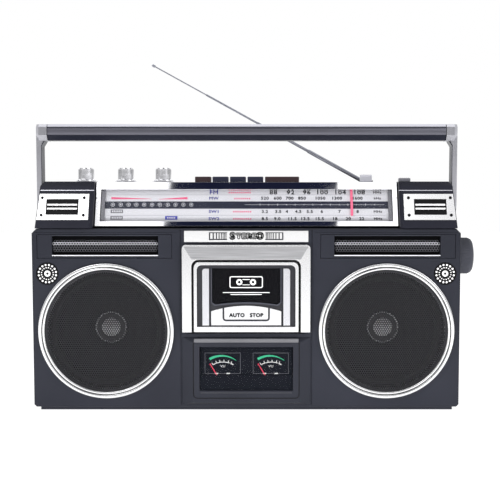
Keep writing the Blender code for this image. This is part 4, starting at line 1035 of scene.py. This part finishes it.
def dial():
    """The leaning dial: a bright frame, a clear pane, a printed plate and the pointer over it."""
    foot, layer = 190.4, 6
    face = leaning(0, 12, foot)

    def up(height):
        """The place up the plate's slope of a height above the table."""
        return (height - foot + layer * math.sin(LEAN)) / math.cos(LEAN)

    def mark(left, right, low, high, lift=0.1):
        """A printed rectangle between two heights above the table."""
        return box((left, layer - lift, up(low)), (right, layer - lift / 4, up(high)))

    def marks(start, step, count, width, height, half, lift=0.16):
        """A row of equal printed rectangles."""
        places = [start + step * i for i in range(count)]
        return [mark(x, x + width, height - half, height + half, lift) for x in places]

    def words(names, places, height, size=3.2, stretch=1.15, weight=0.2):
        return [(name, x, up(height), size, stretch, weight) for name, x in zip(names.split(), places)]

    def show(name, shapes, finish, slot="scale_print", *more):
        add(f"dial_{name}", moved(merged(*shapes), face), finish, slot, *more)

    bezel = box((-157, 0, 0), (157, 9, 49.2))
    sight = box((-152, -10, 5.3), (152, 20, 41))
    room = box((-154.5, 3.2, 3), (154.5, 20, 46.5))
    under = box((-200, -100, 100), (200, 100, CABINET_TOP + 0.3))
    behind = box((-200, 32.7, 232.9), (200, 100, 300))
    shape = cut(moved(cut(bezel, sight, room), face), under, behind)
    add("dial_frame", shape, DIAL_CHROME, "chrome_trim", "cabinet", "dial_bezel", edge=0.4)
    glass = box((-151.6, 0.8, 5.7), (151.6, 2.3, 40.6), 0.2, 2)
    show("glass", [glass], WINDOW, "clear_window", "cabinet", "dial_window")
    plate = box((-153.5, layer, 4), (153.5, layer + 1.2, 42.2), 0.2, 1)
    show("plate", [plate], SCALE_WHITE, "scale_print", "cabinet", "dial_scale")
    show("band", [mark(-151.5, 151.5, 208.2, 215.8)], PRINT_NAVY)
    show("lines", [mark(-146, 145.5, height - 0.18, height + 0.18) for height in (201.4, 222.7)],
        PRINT_LINE)
    ends = [sided_box(side, (148, 2.6, 5.6), (151.8, layer - 0.2, 40.8), 0.2, 1) for _, side in SIDES]
    show("end_bars", ends, PRINT_GREY, "trim_plastic")

    numbers = words("88 92 96 100 104 108", (28, 46, 63, 79, 98, 118), 225, 4.2, 1.35)
    numbers += words("520 600 700 850 1050 1300 1600", (19, 32.5, 45, 58, 77, 94.5, 116), 219)
    numbers += words("3.2 3.5 4 4.5 5.5 6 7 8", (19, 33, 42, 54, 66, 78.5, 97, 116), 205.1)
    numbers += words("8.5 9.0 11.5 13.5 15.5 18 20 22", (19, 32, 47.5, 61, 76, 92, 106, 120), 197.7)
    for unit, height in (("MHz", 225), ("kHz", 219), ("MHz", 205.1), ("MHz", 197.7)):
        numbers += words(unit, [137], height, 2.6, 1.2, 0.14)
    names = words("FM", [-34.5], 225, 4, 1.3, 0.22)
    for band, x, height in (("MW", -34.5, 219), ("SW1", -34, 205.1), ("SW2", -34, 197.7)):
        names += words(band, [x], height, 3.2, 1.2, 0.18)
    for name, text, finish in (("numbers", numbers, PRINT_BLACK), ("band_names", names, PRINT_BLUE)):
        show(name, [moved(lettering(text), at(0, layer - 0.12, 0))], finish)

    red = []
    for start, count, height in ((-19, 11, 225), (-13, 8, 218.8), (-14, 9, 205.1), (-14, 9, 197.7)):
        red += marks(start, 2.2, count, 1.3, height, 0.8, 0.1)
    for points in (((-142, 220.3), (-100, 218.6), (-100, 218.3), (-142, 218)),
        ((-92, 218.3), (-62, 220.4), (-62, 218), (-92, 218))):
        red.append(prism([(x, up(z)) for x, z in points], "Y", layer - 0.1, layer - 0.03))
    show("red_print", red, PRINT_PINK)
    show("grey_tags", [mark(-142, -129, height - 1.9, height + 1.9) for height in (205.5, 198.7)],
        PRINT_GREY)
    pale = marks(-140.5, 1.8, 6, 1.1, 205.5, 0.9) + marks(-140.5, 1.8, 6, 1.1, 198.7, 0.9)
    pale += marks(-82.8, 1.8, 5, 1.1, 198.7, 0.8) + marks(-140.6, 8.2, 11, 1.2, 212.4, 0.6)
    for i in range(11):
        spot = at(-140 + i * 8.2, layer - 0.15, up(212.4))
        pale.append(moved(ring_plate((0, 0), 2.1, 1.7, -0.05, 0.05, 24), spot))
    pale += marks(13.8, 18.4, 7, 0.4, 212.4, 1.1) + marks(23, 18.4, 7, 0.4, 212.4, 0.7)
    pale.append(mark(-2, 144, 212.25, 212.5, 0.14))
    show("pale_print", pale, PRINT_PALE)
    show("blue_tag", [mark(-85, -72, 196.8, 200.6)], PRINT_BLUE)

    centre = local_centre("dial_pointer").x
    half = 1.3
    needle = box((centre - half, 3.6, 13.2), (centre + half, 4.8, 45), 0.3, 2)
    hook = box((centre - half, 4, 43), (centre + half, 9.5, 45), 0.3, 1)
    carriage = box((centre - 6, 8.5, 42.8), (centre + 6, 11.5, 45.5), 0.4, 1)
    shape = moved(merged(needle, hook, carriage), face)
    add("pointer_needle", shape, POINTER, "pointer_red", "pointer", "dial_pointer")


# --- keys, knobs and switches ---

def keys():
    for name in ("record", "rewind", "forward", "stop", "play"):
        node = f"{name}_key"
        low, high = local_box(node)
        bottom, depth = 229.5, 20
        cap = box((low.x, low.y, bottom), (high.x, low.y + depth, high.z), 0.9, 4)
        for vertex in cap.verts:
            if vertex.co.z > high.z - 0.2:
                part = (vertex.co.y - low.y) / depth * 2 - 1
                vertex.co.z -= 0.6 * (1 - part * part)
        middle = (low.x + high.x) / 2
        shaft = (84, 226)
        arm = box((middle - 5, low.y + 2, 223.5), (middle + 5, shaft[0] - 2, bottom + 1), 0.4, 1)
        left, right = middle - 5, middle + 5
        boss = turned([(1.9, left), (3.6, left), (3.6, right), (1.9, right)], "X", shaft, 32)
        finish = KEY_BROWN if name in ("record", "play") else KEY_BLUE
        add(f"{name}_key_cap", [cap, arm, boss], finish, "key_navy", name, node)


def knobs():
    profile = [(0, 0.4), (10, 0.4), (10.5, 0.9), (10.4, 1.6), (9.6, 2.1), (8.4, 2.4), (8.4, 3.4),
        (8.3, 12.6), (8, 13.6), (7.6, 13.8), (7.4, 14.5), (6.8, 14.8), (0, 14.5)]
    for name in ("volume", "balance", "tone"):
        low, high = local_box(f"{name}_knob")
        x, y, _ = (low + high) / 2
        base, top = high.z - 14.8, high.z
        body = turned([(r, base + z) for r, z in profile], "Z", (x, y), 384, 64, 0.6, (6, 7))
        shaft = rod("Z", (x, y), 3, low.z, base + 1, 32)
        add(f"{name}_cap", [body, shaft], KNOB_SILVER, "silver_trim", name, f"{name}_knob", sharp=28)
        line = box((x - 0.3, y - 6.6, top - 0.3), (x + 0.3, y - 2, top + 0.1))
        add(f"{name}_index", line, PRINT_BLACK, "trim_plastic", name)
        seat = [(4, base + 0.1), (12, base + 0.1), (11.8, base - 0.2), (4, base - 0.2)]
        add(f"{name}_seat", turned(seat, "Z", (x, y), 64), SILVER, "silver_trim")


def switches():
    for name, finish, base in (("band", SWITCH_LIGHT, 236), ("function", SWITCH_GREY, 236.5)):
        low, high = local_box(f"{name}_switch")
        x, y, _ = (low + high) / 2
        parts = [box((low.x, low.y, base + 0.4), high, 0.6, 3)]
        for i in range(5):
            left = low.x + 1.2 + i * 2.2
            parts.append(box((left, low.y + 0.8, high.z - 0.3), (left + 0.9, high.y - 0.8, high.z + 0.3),
                0.2, 1))
        parts.append(box((x - 2, y - 1.5, low.z), (x + 2, y + 1.5, base + 1)))
        add(f"{name}_tab", parts, finish, "silver_trim", name, f"{name}_switch")


def tuning_knob():
    low, high = local_box("tuning_knob")
    _, y, z = (low + high) / 2
    start = high.x - 17.8
    profile = [(0, 0), (18.4, 0), (18.9, 0.6), (18.9, 2), (19.2, 2.6), (19.2, 12.8), (18.8, 13.8),
        (17.8, 16), (16, 17.3), (14.2, 17.8), (11.2, 17.4), (0, 17)]
    body = turned([(r, start + x) for r, x in profile], "X", (y, z), 432, 72, 0.6, (4, 5))
    shaft = rod("X", (y, z), 3, low.x, start + 1, 32)
    add("tuning_cap", [body, shaft], GREY_TRIM, "cabinet_plastic", "tuning", "tuning_knob", sharp=28)


# --- handle ---

def handle():
    """A silver hoop with a dark grip: pale crown, grey face strips, and a dark lower part; the legs' inner
    faces carry a painted dark reflection.
    """
    grip_low, grip_high = local_box("handle_grip")
    frame_low, frame_high = local_box("handle_frame")
    middle = (grip_low.y + grip_high.y) / 2
    deep = (grip_high.y - grip_low.y) / 2
    bottom, top = grip_low.z, grip_high.z
    core_z = (bottom + top) / 2
    pivot_z = 212

    def section(inset, half=deep):
        rear = [(half - 4.5 - inset, bottom + inset), (half - inset, bottom + 5.5), (half - inset, top - 3),
            (half - 3 - inset, top - inset)]
        front = [(-y, z) for y, z in reversed(rear)]
        return [(middle + y, z) for y, z in front[-1:] + rear + front[:-1]]

    def core(left, right, half):
        return box((left, middle - half, core_z - half), (right, middle + half, core_z + half))

    sleeve = cut(prism(section(0.3), "X", grip_low.x, grip_high.x), core(-250, 250, 5.3))
    add("grip_sleeve", sleeve, GRIP_DARK, "trim_plastic", "handle", "handle_grip", edge=0.6)
    left, right = grip_low.x + 0.3, grip_high.x - 0.3
    strips, crowns = [], []
    for front in (-1, 1):
        face = middle + front * (deep - 0.3)
        low, high = sorted((face - front * 0.6, face + front * 0.3))
        strips.append(box((left, low, bottom + 6), (right, high, top - 4.6), 0.2, 2))
        outer = middle + front * deep
        crown = [(outer - front * y, top - z) for y,
            z in ((0, 3.4), (0, 2.6), (2.8, 0), (5.6, 0), (5.6, 0.6), (3, 1))]
        crowns.append(prism(crown, "X", left, right))
    add("grip_face_strips", strips, GRIP_GREY, "trim_plastic", "handle")
    add("grip_crown", crowns, CROWN, "silver_trim", "handle", edge=0.2)

    arms, inner_shades, bolts = [core(frame_low.x + 1, frame_high.x - 1, 5)], [], []
    for _, side in SIDES:
        outer, inner = side * frame_high.x, side * (frame_high.x - 5)
        leg = rounded((middle - 8, pivot_z - 8), (middle + 8, core_z), 7.8, (True, True, False, False), 8)
        stations = ((side * (grip_high.x + 0.3), deep), (side * 218.5, deep), (outer, 8))
        gusset = [(inner, bottom + 1), (inner - side * 3, bottom + 1), (inner, bottom - 5)]
        arms += [prism(leg, "X", *sorted((outer, inner))),
            loft([[(x, y, z) for y, z in section(0, half)] for x, half in stations]),
            prism(gusset, "Y", middle - 7.8, middle + 7.8),
            rod("X", (middle, pivot_z), 4, *span(side, 210.5, frame_high.x - 4), 32)]
        # A thin dark layer on each leg's inner face and gusset: a painted reflection, not a separate part.
        dark = [(0.1, bottom - 5.5), (-3.4, bottom + 0.4), (-4.4, bottom + 0.4), (-0.6, bottom - 5.8),
            (-0.6, pivot_z + 15), (0.1, pivot_z + 15)]
        inner_shades.append(prism([(inner + side * x, z) for x, z in dark], "Y", middle - 8.1, middle + 8.1))
        spin = Matrix.Rotation(side * math.pi / 2, 4, "Z")
        bolts.append(screw_head(at(side * (frame_high.x + 0.1), middle, pivot_z) @ spin, 3.4))
    add("handle_arms", joined(*arms), SILVER_LEG, "silver_trim", "handle", "handle_frame", edge=0.7)
    add("handle_inner_shade", inner_shades, LEG_INNER_SHADE, "trim_plastic", "handle", edge=0.3)
    add("handle_pivot_screws", bolts, CHROME, "chrome_trim", "handle")


# --- antenna ---

def antenna():
    low, high = local_box("antenna_turret")
    x, y, _ = (low + high) / 2
    aim = at(x, y, 234.6) @ Matrix.Rotation(math.radians(28.7) - math.pi, 4, "Y")
    sections = [(1, 6.8, 78, 2.2, 1.9, 9), (2, 70, 142.7, 1.65, 1.35, 71.2),
        (3, 134.7, 207.4, 1.15, 0.85, 135.9), (4, 199.4, 272.1, 0.7, 0, 0)]
    # Every tube takes the darkened chrome: painted shade that makes the mast read as a dark line.
    for number, start, end, outer, inner, bore in sections:
        profile = [(0, start), (outer, start)]
        if inner:
            profile += [(outer, end - 1.2), (outer * 0.985, end - 0.5), (outer * 0.93, end), (inner, end),
                (inner, bore), (0, bore)]
        else:
            profile += [(outer, end - 0.4), (1.2, end), (1.5, end + 0.6), (1.5, end + 3), (1.1, end + 3.8),
                (0, end + 4)]
        parts = [turned(profile, "X", (0, 0), 40)]
        if number == 1:
            parts += [box((-1, -2.8, -2.2), (8.5, 2.8, 2.2), 0.4, 2),
                turned([(0, -2.8), (3.1, -2.8), (3.1, 2.8), (0, 2.8)], "Y", (0, 0), 40),
                rod("Y", (0, 0), 2, -5, 5, 24)]
        add(f"mast_tube_{number}", moved(merged(*parts), aim), MAST_CHROME_SHADED, "chrome_trim", f"mast_{number}",
            f"antenna_section_{number}", sharp=40)


# --- back and underside ---

def back_details():
    """Battery lid with grip ribs, ventilation louvres, case screws and a collar round the inlet."""
    low, high = local_box("battery_door")
    lid = box((low.x, high.y - 2.4, low.z), high)
    latch = box((-12, high.y - 6, high.z - 7.6), (12, high.y - 1, high.z - 1.6))
    finger = rod("Y", (0, high.z - 12), 7.5, high.y - 1.2, high.y + 10, 48)
    add("battery_cover", cut(joined(lid, latch), finger), CABINET_REAR, "cabinet_plastic", "battery_lid",
        "battery_door", edge=0.4)
    ribs = []
    for x in range(-76, 77, 19):
        ribs.append(box((x - 0.9, high.y - 0.2, low.z + 8), (x + 0.9, high.y + 0.6, high.z - 24), 0.3, 2))
    for i in range(5):
        up = high.z - 16.5 + i * 2.2
        ribs.append(box((-4.5, high.y - 1.4, up - 0.4), (4.5, high.y - 0.5, up + 0.4), 0.2, 1))
    add("battery_cover_ribs", ribs, CABINET_REAR, "cabinet_plastic", "battery_lid")

    rear = local_box("rear_cabinet")[1].y
    louvres = [sided_box(side, (112, rear - 0.3, 110.4 + i * 8.5), (196, rear + 1.2, 113.6 + i * 8.5), 0.7,
        2) for _, side in SIDES for i in range(8)]
    add("rear_louvres", louvres, CABINET_REAR, "cabinet_plastic")
    spots = [(x, up) for x in (-207, 207) for up in (16, 100, 215)] + [(0, 215)]
    spin = Matrix.Rotation(math.pi, 4, "Z")
    screws = [screw_head(at(x, rear + 0.4, up) @ spin, 3.2) for x, up in spots]
    add("rear_screws", screws, STEEL, "zinc_steel")
    x, _, z = local_centre("mains_inlet")
    collar = prism(rounded((x - 12.5, z - 9.2), (x + 12.5, z + 9.2), 4), "Y", rear - 0.2, rear + 0.9)
    opening = prism(rounded((x - 8.5, z - 5.2), (x + 8.5, z + 5.2), 4.5), "Y", rear - 10, rear + 10)
    add("inlet_collar", cut(collar, opening), BLACK, "trim_plastic", edge=0.3)


# --- the whole scene ---

make_camera()
make_studio()
front_shell()
rosettes()
tweeter_plates()
soften_cad_nodes()
speakers()
slot_grilles()
badge()
deck_front()
cassette_door()
meters()
dial()
keys()
knobs()
switches()
tuning_knob()
handle()
antenna()
back_details()
